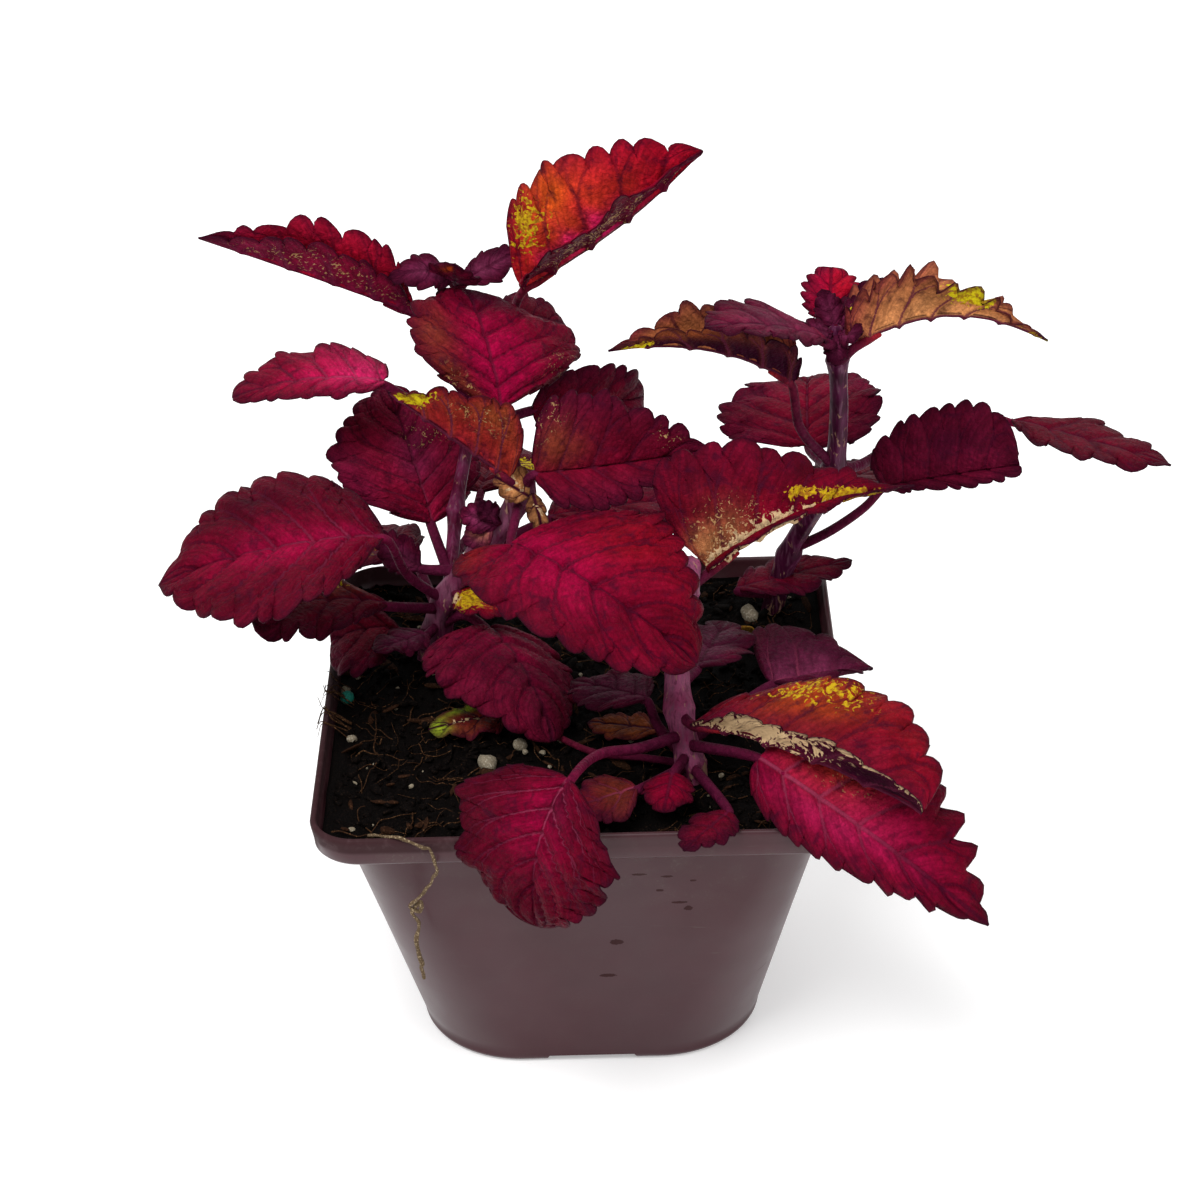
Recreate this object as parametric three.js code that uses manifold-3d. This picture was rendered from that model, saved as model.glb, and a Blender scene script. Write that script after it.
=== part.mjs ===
// A coleus in its square nursery pot, in millimetres, +Z up.
//
// The origin is the middle of the pot's underside. +X is to the right and -Y is the
// front. Three leafy stems stand in the soil, and one of them carries a side shoot.
// Every leaf is one solid, its blade and its stalk, seated on the stem it grew from.

import * as THREE from 'three';
import { mergeVertices } from 'three/addons/utils/BufferGeometryUtils.js';
import Module from 'manifold-3d';

const wasm = await Module();
wasm.setup();

// ---------------------------------------------------------------- driving dimensions

const CLEARANCE = 0.3; // between solids that touch on the real plant

const POT = {
  rimHalf: 52.5, // half of the 105 mm square rim
  height: 68.3,
  bandHeight: 6.1, // the upright band under the rim
  bandRecess: 5.4, // the body's top stands this far inside the band
  baseHalf: 35.2,
  wall: 1.3,
  floor: 1.8,
  rimCorner: 9, // radii of the corners, from the rim down to the base
  bodyCorner: 10,
  waistCorner: 16,
  baseCorner: 22,
  waist: 34, // half way up the body
  heel: 4, // rounding where the body meets the underside
  heelStep: 1, // the inside's rounding ends this much higher
};
const RING = { points: 32, flat: 0.14 }; // points round a level, share of a quarter per half side
const FEET = { width: 18, depth: 12, height: 1.2 }; // the slot in the middle of each side
const DRAIN = { radius: 3.2, distance: 21 };

const SOIL = { bottom: 2.1, level: 64.2, relief: 1.1, rings: 9 };
const CRUMBS = { count: 12, least: 0.9, most: 2.1, reach: 44, seed: 11 };

// A blade: the depth of its notches, the powers of its outline, its ripple at the margin,
// and the place of the extra column of points in a blade of at least fineFrom lobes.
const BLADE = {
  thickness: 0.8, bite: 0.1, shape: [0.6, 0.9], ripple: 0.6, inner: 0.52, fineFrom: 8,
};
// A stalk thins from its root to its neck, then to its end under the blade.
const STALK = { root: 1.15, neck: 0.85, end: 0.45, neckAt: 0.7, sides: 5, steps: 4, runsTo: 0.14 };
const STALK_DEPTH = 0.5; // its middle line runs this far under the blade's

// ------------------------------------------------------------------- solids and meshes

function solidOf(geometry) {
  const shape = geometry.clone();
  shape.deleteAttribute('normal');
  shape.deleteAttribute('uv');
  const merged = mergeVertices(shape, 1e-4);
  return new wasm.Manifold(new wasm.Mesh({
    numProp: 3,
    vertProperties: new Float32Array(merged.attributes.position.array),
    triVerts: new Uint32Array(merged.index.array),
  }));
}

function geometryOf(solid) {
  const mesh = solid.getMesh();
  const geometry = new THREE.BufferGeometry();
  geometry.setAttribute('position', new THREE.BufferAttribute(mesh.vertProperties, 3));
  geometry.setIndex(new THREE.BufferAttribute(mesh.triVerts, 1));
  geometry.computeVertexNormals();
  return geometry;
}

function indexedGeometry(points, faces) {
  const geometry = new THREE.BufferGeometry();
  const flat = points.flatMap((point) => [point.x, point.y, point.z]);
  geometry.setAttribute('position', new THREE.Float32BufferAttribute(flat, 3));
  geometry.setIndex(faces.flat());
  return geometry;
}

// Joins rings of equal length into one closed skin, with a point at each end.
function loft(rings, first, last) {
  const count = rings[0].length;
  const points = [first, ...rings.flat(), last];
  const at = (ring, k) => 1 + ring * count + (k % count);
  const faces = [];
  for (let k = 0; k < count; k += 1) {
    faces.push([0, at(0, k + 1), at(0, k)]);
    for (let ring = 0; ring + 1 < rings.length; ring += 1) {
      faces.push([at(ring, k), at(ring, k + 1), at(ring + 1, k + 1)]);
      faces.push([at(ring, k), at(ring + 1, k + 1), at(ring + 1, k)]);
    }
    faces.push([points.length - 1, at(rings.length - 1, k), at(rings.length - 1, k + 1)]);
  }
  return indexedGeometry(points, faces);
}

// A round section carried along a curve, with its own radius at each step.
function sweep(curve, radiusAt, sides, steps) {
  const frames = curve.computeFrenetFrames(steps, false);
  const rings = [];
  for (let step = 0; step <= steps; step += 1) {
    const middle = curve.getPoint(step / steps);
    const ring = [];
    for (let k = 0; k < sides; k += 1) {
      const angle = (2 * Math.PI * k) / sides;
      const radius = radiusAt(step / steps, k);
      ring.push(middle.clone()
        .addScaledVector(frames.normals[step], radius * Math.cos(angle))
        .addScaledVector(frames.binormals[step], radius * Math.sin(angle)));
    }
    rings.push(ring);
  }
  return loft(rings, curve.getPoint(0), curve.getPoint(1));
}

const vector = (xyz) => new THREE.Vector3(...xyz);
const UP = vector([0, 0, 1]);

// A fixed sequence of numbers from 0 to 1, the same on every run.
function numbersFrom(seed) {
  let state = seed;
  return () => {
    state = (state * 1664525 + 1013904223) % 4294967296;
    return state / 4294967296;
  };
}

// --------------------------------------------------------------------------------- pot

const QUARTER = Math.PI / 2;

// One level ring of a square with round corners, anticlockwise from the right.
function squareRing(half, corner, z) {
  const ring = [];
  for (let k = 0; k < RING.points; k += 1) {
    const quarters = (4 * (k + 0.5)) / RING.points;
    const turn = quarters % 1; // 0 to 1 from one side's middle, round a corner, to the next
    const flat = half - corner;
    const bend = THREE.MathUtils.clamp((turn - RING.flat) / (1 - 2 * RING.flat), 0, 1) * QUARTER;
    const along = Math.min(turn / RING.flat, 1) * flat;
    const back = Math.max((turn - 1 + RING.flat) / RING.flat, 0) * flat;
    const point = new THREE.Vector3(
      flat + corner * Math.cos(bend) - back,
      along + corner * Math.sin(bend),
      z,
    );
    ring.push(point.applyAxisAngle(UP, Math.floor(quarters) * QUARTER));
  }
  return ring;
}

function squareLoft(levels) {
  const rings = levels.map((level) => squareRing(...level));
  const bottom = new THREE.Vector3(0, 0, levels[0][2]);
  const top = new THREE.Vector3(0, 0, levels[levels.length - 1][2]);
  return loft(rings, bottom, top);
}

const bandBottom = POT.height - POT.bandHeight;
const bodyTopHalf = POT.rimHalf - POT.bandRecess;

const heelTop = POT.heel + POT.heelStep;

function bodyHalfAt(z) {
  return THREE.MathUtils.mapLinear(z, POT.heel, bandBottom, POT.baseHalf, bodyTopHalf);
}

// The levels of the body's inside, from the floor up, drawn in by some more than the wall.
function insideLevels(bottom, shelf, more) {
  const inset = POT.wall + more;
  return [
    [POT.baseHalf - POT.heel - more, POT.baseCorner - 2, bottom],
    [bodyHalfAt(heelTop) - inset, POT.baseCorner - inset, heelTop],
    [bodyHalfAt(POT.waist) - inset, POT.waistCorner - inset, POT.waist],
    [bodyTopHalf - inset, POT.bodyCorner - inset, shelf - 0.01],
    [POT.rimHalf - inset - 0.4, POT.rimCorner - inset, shelf],
  ];
}

function makePot() {
  const outside = solidOf(squareLoft([
    [POT.baseHalf - POT.heel, POT.baseCorner - 2, 0],
    [POT.baseHalf - 0.3 * POT.heel, POT.baseCorner, 0.3 * POT.heel],
    [POT.baseHalf, POT.baseCorner, POT.heel],
    [bodyHalfAt(POT.waist), POT.waistCorner, POT.waist],
    [bodyTopHalf, POT.bodyCorner, bandBottom],
    [POT.rimHalf - 0.6, POT.rimCorner, bandBottom + 0.01],
    [POT.rimHalf, POT.rimCorner, POT.height - 0.8],
    [POT.rimHalf - 0.5, POT.rimCorner, POT.height],
  ]));
  const inside = solidOf(squareLoft([
    ...insideLevels(POT.floor, bandBottom + POT.wall, 0),
    [POT.rimHalf - POT.wall, POT.rimCorner - POT.wall, POT.height + 1],
  ]));
  let pot = outside.subtract(inside);
  for (let side = 0; side < 4; side += 1) {
    const turn = side * QUARTER;
    const slot = new THREE.BoxGeometry(FEET.width, FEET.depth * 2, FEET.height * 2);
    slot.translate(0, -POT.baseHalf, 0);
    slot.rotateZ(turn);
    pot = pot.subtract(solidOf(slot));
    const drain = new THREE.CylinderGeometry(DRAIN.radius, DRAIN.radius, 8, 12);
    drain.rotateX(QUARTER);
    drain.translate(DRAIN.distance, 0, 0);
    drain.rotateZ(turn + QUARTER / 2);
    pot = pot.subtract(solidOf(drain));
  }
  return pot;
}

// --------------------------------------------------------------------------------- stems

// Each stem runs through these points, from its foot in the soil to its growing tip.
// Swellings are the joints where pairs of leaves stand, as heights.
const STEMS = {
  middle: {
    path: [[-33, 21, 46], [-32, 20, 62], [-28, 18, 79], [-19, 12, 95], [-11, 6, 110], [-10, 4, 115]],
    foot: 3.1,
    top: 1.9,
    swellings: [70, 80, 94, 110],
  },
  left: {
    path: [[-27, 18, 83], [-26, 24, 91], [-25, 27, 98], [-23, 31, 107], [-21, 36, 121], [-22, 38, 139.5]],
    foot: 1.3,
    top: 1.1,
    swellings: [96, 117],
  },
  front: {
    path: [[23, -30, 46], [22, -28, 62], [19, -23, 80], [20, -16, 95], [22, -12, 104]],
    foot: 2.5,
    top: 2.0,
    swellings: [67, 78, 99],
  },
  right: {
    path: [[37, 34, 48], [40, 36, 62], [44, 36, 78], [52, 23, 104], [53, 20, 120], [52, 18, 139]],
    foot: 2.3,
    top: 1.5,
    swellings: [78, 106, 132],
  },
};
const SWELLING = { rise: 0.55, spread: 2.6 };
const SQUARENESS = 0.1; // coleus stems are square: the corners stand out by this share
const STEM_MESH = { sides: 8, steps: 15 };

function stemCurve(name) {
  return new THREE.CatmullRomCurve3(STEMS[name].path.map(vector), false, 'centripetal');
}

// A stem as a solid, or the room that it takes up with some clearance all round it.
function stemSolid(name, grow = 0) {
  const { foot, top, swellings } = STEMS[name];
  const curve = stemCurve(name);
  curve.points[0].z -= grow;
  curve.points[curve.points.length - 1].z += grow;
  const radiusAt = (t, k) => {
    const height = curve.getPoint(t).z;
    const bulge = swellings
      .map((z) => SWELLING.rise * Math.exp(-(((height - z) / SWELLING.spread) ** 2)))
      .reduce((sum, value) => sum + value, 0);
    const square = k % 2 ? 1 - SQUARENESS : 1 + SQUARENESS;
    return THREE.MathUtils.lerp(foot, top, t) * square + bulge + grow;
  };
  return solidOf(sweep(curve, radiusAt, STEM_MESH.sides, STEM_MESH.steps));
}

// The point on a stem's middle line at one height.
function stemPoint(name, height) {
  const curve = stemCurve(name);
  let low = 0;
  let high = 1;
  for (let step = 0; step < 24; step += 1) {
    const middle = (low + high) / 2;
    if (curve.getPoint(middle).z < height) low = middle;
    else high = middle;
  }
  return curve.getPoint(low);
}

const roomFor = {
  middle: stemSolid('middle', CLEARANCE).add(stemSolid('left', CLEARANCE)),
  front: stemSolid('front', CLEARANCE),
  right: stemSolid('right', CLEARANCE),
};
roomFor.left = roomFor.middle;

// ---------------------------------------------------------------------------------- soil

function soilHeight(x, y) {
  const swell = Math.sin(x * 0.21 + 1.3) * Math.cos(y * 0.17) + 0.6 * Math.sin(x * 0.47 - y * 0.39);
  const grain = 0.5 * Math.sin(x * 1.13 + y * 0.71) * Math.sin(y * 1.37 - x * 0.29);
  return SOIL.level + SOIL.relief * (0.45 * swell + grain);
}

function makeSoil() {
  const shelf = bandBottom + POT.wall + CLEARANCE;
  const half = POT.rimHalf - POT.wall - CLEARANCE - 0.5;
  const corner = POT.rimCorner - POT.wall;
  const levels = insideLevels(SOIL.bottom, shelf, 1.2 * CLEARANCE);
  const rings = levels.map((level) => squareRing(...level));
  for (let ring = 0; ring < SOIL.rings; ring += 1) {
    const share = 1 - ring / SOIL.rings;
    const edge = squareRing(half * share, corner * share, 0);
    rings.push(edge.map(({ x, y }) => (
      new THREE.Vector3(x, y, Math.max(soilHeight(x, y), shelf + 0.4))
    )));
  }
  const bottom = new THREE.Vector3(0, 0, SOIL.bottom);
  let soil = solidOf(loft(rings, bottom, new THREE.Vector3(0, 0, soilHeight(0, 0))));
  const draw = numbersFrom(CRUMBS.seed);
  for (let k = 0; k < CRUMBS.count; k += 1) {
    const size = THREE.MathUtils.lerp(CRUMBS.least, CRUMBS.most, draw() ** 2);
    const x = (2 * draw() - 1) * CRUMBS.reach;
    const y = (2 * draw() - 1) * CRUMBS.reach;
    const crumb = new THREE.IcosahedronGeometry(size, 0);
    crumb.scale(1, 0.6 + 0.6 * draw(), 0.6);
    crumb.rotateZ(2 * Math.PI * draw());
    crumb.translate(x, y, soilHeight(x, y));
    soil = soil.add(solidOf(crumb));
  }
  for (const name of ['middle', 'front', 'right']) soil = soil.subtract(roomFor[name]);
  return soil;
}

// --------------------------------------------------------------------------------- leaves

// The half width of a blade, as a share of its widest, from its base to its tip.
function outline(u, [a, b]) {
  const peak = a / (a + b);
  return (u ** a * (1 - u) ** b) / (peak ** a * (1 - peak) ** b);
}

// The blade's middle surface. u runs from base to tip and v from the midrib, -1 for the
// left margin and 1 for the right one, looking from base to tip with the face upward.
class BladeSurface {
  constructor(leaf) {
    this.leaf = {
      arch: 0, fold: [8, 8], curl: [12, 12], ear: [0, 0], shape: BLADE.shape, ...leaf,
    };
    this.base = vector(leaf.base);
    this.chord = vector(leaf.tip).sub(this.base);
    const along = this.chord.clone().normalize();
    const face = vector(leaf.face);
    this.face = face.addScaledVector(along, -face.dot(along)).normalize();
  }

  midrib(u) {
    const bow = 4 * u * (1 - u);
    return this.base.clone()
      .addScaledVector(this.chord, u)
      .addScaledVector(this.face, this.leaf.arch * bow);
  }

  frame(u) {
    const bend = 4 * (1 - 2 * u);
    const along = this.chord.clone()
      .addScaledVector(this.face, this.leaf.arch * bend)
      .normalize();
    const face = this.face.clone().addScaledVector(along, -this.face.dot(along)).normalize();
    return { along, face, side: along.clone().cross(face) };
  }

  point(u, v, reach = 1) {
    const hand = v < 0 ? 0 : 1;
    const out = Math.abs(v);
    const { fold, curl, wide, ear, shape } = this.leaf;
    const { along, face, side } = this.frame(u);
    const start = THREE.MathUtils.degToRad(fold[hand]);
    const turn = THREE.MathUtils.degToRad(curl[hand]) + 1e-6;
    const width = wide[hand] * outline(u, shape) * reach;
    const back = ear[hand] * outline(u, shape) * (1 - u) ** 3 * out * out;
    const across = (Math.sin(start) - Math.sin(start - turn * out)) / turn;
    const rise = (Math.cos(start - turn * out) - Math.cos(start)) / turn;
    const ripple = BLADE.ripple * Math.sin(19 * u + 2.2 * hand) * out * out * Math.sin(Math.PI * u);
    return this.midrib(u)
      .addScaledVector(side, (hand ? 1 : -1) * width * across)
      .addScaledVector(face, width * rise + ripple)
      .addScaledVector(along, -back);
  }
}

// The middle surface as points and triangles, and its margin as a loop of points. A large
// leaf has a column of points halfway out and two points on each tooth, a small one
// neither column nor second point.
function bladeSheet(surface, teeth) {
  const fine = teeth >= BLADE.fineFrom;
  const points = [];
  const faces = [];
  const add = (u, v, reach) => points.push(surface.point(u, v, reach)) - 1;
  const rowAt = (k) => (k / teeth) ** 1.12;
  const midrib = [];
  for (let k = 0; k <= teeth; k += 1) midrib.push(add(rowAt(k), 0, 1));
  const margins = [-1, 1].map((hand) => {
    const put = (a, b, c) => faces.push(hand > 0 ? [a, c, b] : [a, b, c]);
    const inner = [...midrib];
    const notch = [...midrib];
    for (let k = 1; k < teeth; k += 1) {
      if (fine) inner[k] = add(rowAt(k), hand * BLADE.inner, 1);
      notch[k] = add(rowAt(k), hand, 1 - BLADE.bite);
    }
    const margin = [];
    for (let k = 0; k < teeth; k += 1) {
      const step = rowAt(k + 1) - rowAt(k);
      const low = add(rowAt(k) + (fine ? 0.34 : 0.6) * step, hand, 1);
      const high = fine ? add(rowAt(k) + 0.8 * step, hand, 1 + 0.2 * BLADE.bite) : low;
      if (fine && k > 0) put(midrib[k], midrib[k + 1], inner[k]);
      if (fine && k + 1 < teeth) put(midrib[k + 1], inner[k + 1], inner[k]);
      if (k > 0) put(inner[k], low, notch[k]);
      put(inner[k], inner[k + 1], low);
      if (fine) put(inner[k + 1], high, low);
      if (k + 1 < teeth) put(inner[k + 1], notch[k + 1], high);
      margin.push(notch[k], low);
      if (fine) margin.push(high);
    }
    return margin.slice(1);
  });
  const rim = [midrib[0], ...margins[1], midrib[teeth], ...margins[0].reverse()];
  return { points, faces, rim };
}

function bladeSolid(surface, teeth) {
  const { points, faces, rim } = bladeSheet(surface, teeth);
  const sheet = indexedGeometry(points, faces);
  sheet.computeVertexNormals();
  const count = points.length;
  const normalAt = (k) => new THREE.Vector3().fromBufferAttribute(sheet.attributes.normal, k);
  const half = BLADE.thickness / 2;
  const upper = points.map((point, k) => point.clone().addScaledVector(normalAt(k), half));
  const lower = points.map((point, k) => point.clone().addScaledVector(normalAt(k), -half));
  const skin = [...faces, ...faces.map(([a, b, c]) => [a + count, c + count, b + count])];
  rim.forEach((from, k) => {
    const to = rim[(k + 1) % rim.length];
    skin.push([from, from + count, to + count], [from, to + count, to]);
  });
  return solidOf(indexedGeometry([...upper, ...lower], skin));
}

// The stalk leaves the middle of its stem, reaches the blade's base and runs on under it.
function stalkCurve(leaf, surface) {
  const under = (u) => surface.midrib(u).addScaledVector(surface.frame(u).face, -STALK_DEPTH);
  const root = stemPoint(leaf.stem, leaf.at);
  const way = (leaf.by ?? []).map(vector);
  const points = [root, ...way, under(0), under(STALK.runsTo / 2), under(STALK.runsTo)];
  return new THREE.CatmullRomCurve3(points, false, 'centripetal');
}

function leafSolid(leaf) {
  const surface = new BladeSurface(leaf);
  const curve = stalkCurve(leaf, surface);
  const thin = leaf.slim ?? 1;
  const steps = STALK.steps + 2 * (leaf.by ?? []).length;
  const radiusAt = (t) => thin * (t < STALK.neckAt
    ? THREE.MathUtils.mapLinear(t, 0, STALK.neckAt, STALK.root, STALK.neck)
    : THREE.MathUtils.mapLinear(t, STALK.neckAt, 1, STALK.neck, STALK.end));
  const stalk = solidOf(sweep(curve, radiusAt, STALK.sides, steps));
  return bladeSolid(surface, leaf.teeth).add(stalk);
}

const LEAF_TONES = {
  crimson: 0x8e0f33,
  maroon: 0x560c26,
  plum: 0x47203a,
  ember: 0xa03222,
  bronze: 0x8a5a2c,
};

// Each leaf: the stem it grew from and the height of its joint there (at), points that
// its stalk passes (by), then its blade. face points the way that the upper side looks.
// wide, fold, curl and ear hold the left and right halves: the width, the degrees that
// the half rises from flat at the midrib, those it turns down again, and how far its
// lower corner reaches back past the base. arch bows the midrib upward, slim thins the
// stalk, and teeth counts the lobes of each margin.
const LEAVES = [
  // the side shoot at the back left
  { name: 'leaf_left_1', tone: 'maroon', stem: 'left', at: 117, by: [[-28, 34, 127]],
    base: [-32, 36, 136.5], tip: [-72.5, 22, 160.5], face: [0, -0.4, 0.8], wide: [10, 13.5],
    fold: [90, 77], curl: [4, 6], shape: [0.8, 1.1], teeth: 8 },
  { name: 'leaf_left_2', tone: 'ember', stem: 'left', at: 118, by: [[-14, 42, 129]],
    base: [-10, 36.5, 141], tip: [26.5, 28, 173.5], face: [-0.6, -0.4, 0.6], wide: [19, 11],
    fold: [59, 70], curl: [8, 8], arch: -2.8, shape: [0.45, 0.85], teeth: 8 },
  { name: 'leaf_left_3', tone: 'maroon', stem: 'left', at: 130,
    base: [-15, 45.5, 131], tip: [-2, 55, 123.5], face: [0, -0.6, 0.9], wide: [6, 8], ear: [2, 0],
    arch: 1, shape: [0.6, 0.8], teeth: 6 },
  { name: 'leaf_left_4', tone: 'crimson', stem: 'left', at: 110, by: [[-31, 29, 118]],
    base: [-38.5, 28, 125], tip: [-69, 24, 124], face: [0, 0, 1], wide: [6, 10.5], fold: [-1, 18],
    curl: [10, 10], ear: [0, 5], arch: 2.3, shape: [0.4, 0.6], teeth: 8 },
  { name: 'leaf_left_5', tone: 'maroon', stem: 'left', at: 111,
    base: [-9, 38, 112.5], tip: [14, 54.5, 107], face: [0, -0.6, 0.2], wide: [9, 11],
    fold: [23, 15], curl: [9, 10], ear: [4, 0], arch: 3, shape: [0.5, 0.7], teeth: 7 },
  { name: 'leaf_left_6', tone: 'maroon', stem: 'left', at: 87, by: [[-23, 33, 87]],
    base: [-21, 43, 91], tip: [-17, 74, 86], face: [0, 0.2, 1], wide: [13, 13], teeth: 7 },
  // the middle stem
  { name: 'leaf_middle_1', tone: 'bronze', stem: 'middle', at: 112,
    base: [-13, 1.5, 116.5], tip: [-36, 4.5, 134.5], face: [0.5, 0, 0.8], wide: [14.5, 8],
    fold: [80, 60], curl: [10, 10], shape: [0.55, 1.15], teeth: 8 },
  { name: 'leaf_middle_2', tone: 'maroon', stem: 'middle', at: 112,
    base: [-8, 0.5, 118], tip: [27.5, 8, 118.5], face: [0, -0.4, 0.9], wide: [15.5, 9],
    fold: [54, -5], curl: [8, 10], ear: [3.5, 0], arch: -0.8, shape: [0.45, 1.2], teeth: 8 },
  { name: 'leaf_middle_3', tone: 'crimson', stem: 'middle', at: 109, by: [[-12, -1, 109]],
    base: [-13, -10, 108], tip: [22.5, -35, 95], face: [-0.4, -0.4, 0.85], wide: [22, 17],
    fold: [-8, 38], curl: [24, 19], ear: [0, 26], arch: 7.5, shape: [0.6, 0.77], teeth: 9 },
  { name: 'leaf_middle_4', tone: 'crimson', stem: 'middle', at: 111,
    base: [-14.5, 10.5, 127.5], tip: [-22, 36, 141.5], face: [0.1, -0.3, 0.9], wide: [15, 23],
    fold: [20, -13], curl: [14, 20], arch: 3.4, shape: [0.75, 0.75], teeth: 8 },
  { name: 'leaf_middle_5', tone: 'maroon', stem: 'middle', at: 83,
    base: [-30.5, 25.5, 93.5], tip: [-40, 45, 116], face: [0.4, -0.7, 0.4], wide: [17.5, 15],
    fold: [13, 10], curl: [20, 20], ear: [0, 5], arch: 1, shape: [0.85, 1], teeth: 9 },
  { name: 'leaf_middle_6', tone: 'crimson', stem: 'middle', at: 79, by: [[-35, 12, 89]],
    base: [-38.5, 4, 102.5], tip: [-84, 0, 95], face: [0, -0.5, 0.8], wide: [21.5, 21.5],
    fold: [31, -8], curl: [9, 17], ear: [0, 17], arch: 4, shape: [1.05, 1.1], teeth: 9 },
  { name: 'leaf_middle_7', tone: 'maroon', stem: 'middle', at: 77,
    base: [-39, 9, 84], tip: [-66, -2, 89], face: [0, -0.1, 1], wide: [10, 12], fold: [1, 8],
    curl: [13, 12], arch: 1.8, shape: [0.9, 0.45], teeth: 7 },
  { name: 'leaf_middle_8', tone: 'plum', stem: 'middle', at: 73,
    base: [-32, 12, 75], tip: [-42, 2, 77], face: [0, 0, 1], wide: [5, 5], teeth: 4 },
  { name: 'leaf_middle_9', tone: 'maroon', stem: 'middle', at: 70,
    base: [-37.5, 15, 74], tip: [-52, 14.5, 71.5], face: [0, -0.3, 0.9], wide: [12.5, 8],
    fold: [14, 8], ear: [2, 0], arch: 2.3, shape: [0.8, 0.6], teeth: 5 },
  { name: 'leaf_middle_10', tone: 'crimson', stem: 'middle', at: 72, by: [[-24, 14, 78]],
    base: [-19, 8.5, 78], tip: [-6, -18.5, 67.5], face: [0.35, -0.15, 0.9], wide: [14.5, 19],
    fold: [-4, 4], curl: [22, 20], ear: [2.5, 0], arch: 2.8, shape: [0.3, 0.75], teeth: 8 },
  { name: 'leaf_middle_11', tone: 'ember', stem: 'middle', at: 82,
    base: [-25, 13, 84], tip: [-14, 4, 84], face: [0, 0, 1], wide: [6, 6], teeth: 4 },
  { name: 'leaf_middle_12', tone: 'plum', stem: 'middle', at: 88,
    base: [-33, 18, 87], tip: [-42, 22, 93], face: [0, -1, 0.3], wide: [4, 4], teeth: 4 },
  { name: 'leaf_middle_13', tone: 'maroon', stem: 'middle', at: 94,
    base: [-6, 22, 96], tip: [22, 36, 92], face: [0, 0, 1], wide: [10, 11], teeth: 6 },
  { name: 'leaf_middle_14', tone: 'maroon', stem: 'middle', at: 75,
    base: [-36, 36, 80], tip: [-58, 58, 73], face: [0, 0, 1], wide: [11, 11], teeth: 6 },
  // the front stem
  { name: 'leaf_front_1', tone: 'ember', stem: 'front', at: 77,
    base: [21.5, -29.5, 78], tip: [63.5, -60.5, 77], face: [-0.3, -0.4, 0.8], wide: [20.5, 8.5],
    fold: [-7, 104], curl: [14, 7], ear: [8, 0], arch: 5.5, shape: [0.85, 0.6], teeth: 8 },
  { name: 'leaf_front_2', tone: 'crimson', stem: 'front', at: 71,
    base: [34, -42, 78], tip: [76.5, -62, 52], face: [0, -0.7, 0.6], wide: [21.5, 9.5],
    fold: [-3, 6], curl: [15, 15], arch: 5.6, shape: [0.35, 1], teeth: 10 },
  { name: 'leaf_front_3', tone: 'crimson', stem: 'front', at: 73, by: [[11, -33, 75], [4, -39, 78]],
    base: [-2, -57, 84.5], tip: [-8.5, -63, 55], face: [-0.4, -0.1, 0.45], wide: [18, 19],
    fold: [-12, 44], curl: [21, 8], arch: 3, shape: [0.6, 0.8], teeth: 9 },
  { name: 'leaf_front_4', tone: 'plum', stem: 'front', at: 68, by: [[15, -22, 73]],
    base: [13, -20, 78], tip: [-2, -8, 75], face: [0, 0, 1], wide: [8, 8], teeth: 6 },
  { name: 'leaf_front_5', tone: 'maroon', stem: 'front', at: 67,
    base: [10.5, -38, 69], tip: [-2.5, -42, 67], face: [0, 0, 1], wide: [8, 7.5], teeth: 5 },
  { name: 'leaf_front_6', tone: 'crimson', stem: 'front', at: 69,
    base: [17.5, -36, 71], tip: [15.5, -45, 68], face: [0, 0, 1], wide: [5, 5], teeth: 4 },
  { name: 'leaf_front_7', tone: 'maroon', stem: 'front', at: 67,
    base: [28, -47.5, 69.5], tip: [19, -60.5, 70], face: [0, 0, 1], wide: [4, 3.5], teeth: 5 },
  { name: 'leaf_front_8', tone: 'bronze', stem: 'front', at: 66,
    base: [15, -16, 68], tip: [1, -11, 67], face: [0, 0, 1], wide: [5, 5], teeth: 4, slim: 0.7 },
  { name: 'leaf_front_9', tone: 'ember', stem: 'front', at: 99,
    base: [25.5, -11, 101.5], tip: [67.5, 9, 108.5], face: [0.1, -0.2, 0.9], wide: [23, 6],
    fold: [52, 60], curl: [7, 10], ear: [4, 0], arch: 4.5, shape: [0.3, 1.9], teeth: 9 },
  { name: 'leaf_front_10', tone: 'plum', stem: 'front', at: 71,
    base: [38, -9, 74], tip: [59, -1, 72], face: [0, 0.1, 1], wide: [19, 3.5], fold: [17, 20],
    curl: [10, 10], ear: [6, 0], shape: [0.7, 1.1], teeth: 5 },
  { name: 'leaf_front_11', tone: 'bronze', stem: 'front', at: 67, by: [[12, -25, 67.5], [2, -20.5, 66.2]],
    base: [-14.5, -6, 66.8], tip: [-31, -12, 66.8], face: [0, 0, 1], wide: [6, 6], teeth: 5,
    slim: 0.7 },
  { name: 'leaf_front_12', tone: 'plum', stem: 'front', at: 82,
    base: [23, -12, 80], tip: [30, 12, 76], face: [0, 0, 1], wide: [7, 8], teeth: 5 },
  // the right stem
  { name: 'leaf_right_1', tone: 'bronze', stem: 'right', at: 106, by: [[45, 17, 118]],
    base: [43.5, 16.5, 128.5], tip: [7, 5, 142], face: [0, -0.2, 1], wide: [8.5, 10.5],
    fold: [74, 63], curl: [4, 6], arch: 4, shape: [0.45, 1.1], teeth: 8 },
  { name: 'leaf_right_2', tone: 'maroon', stem: 'right', at: 135,
    base: [50, 12, 139.5], tip: [25.5, -3.5, 150.5], face: [0, -0.1, 1], wide: [5, 11.5],
    fold: [5, 9], arch: 1.6, shape: [0.65, 1], teeth: 6 },
  { name: 'leaf_right_3', tone: 'crimson', stem: 'right', at: 137,
    base: [51, 24, 138.5], tip: [52, 32, 146], face: [0, -1, 0.3], wide: [5.5, 6], fold: [7, 11],
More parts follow.
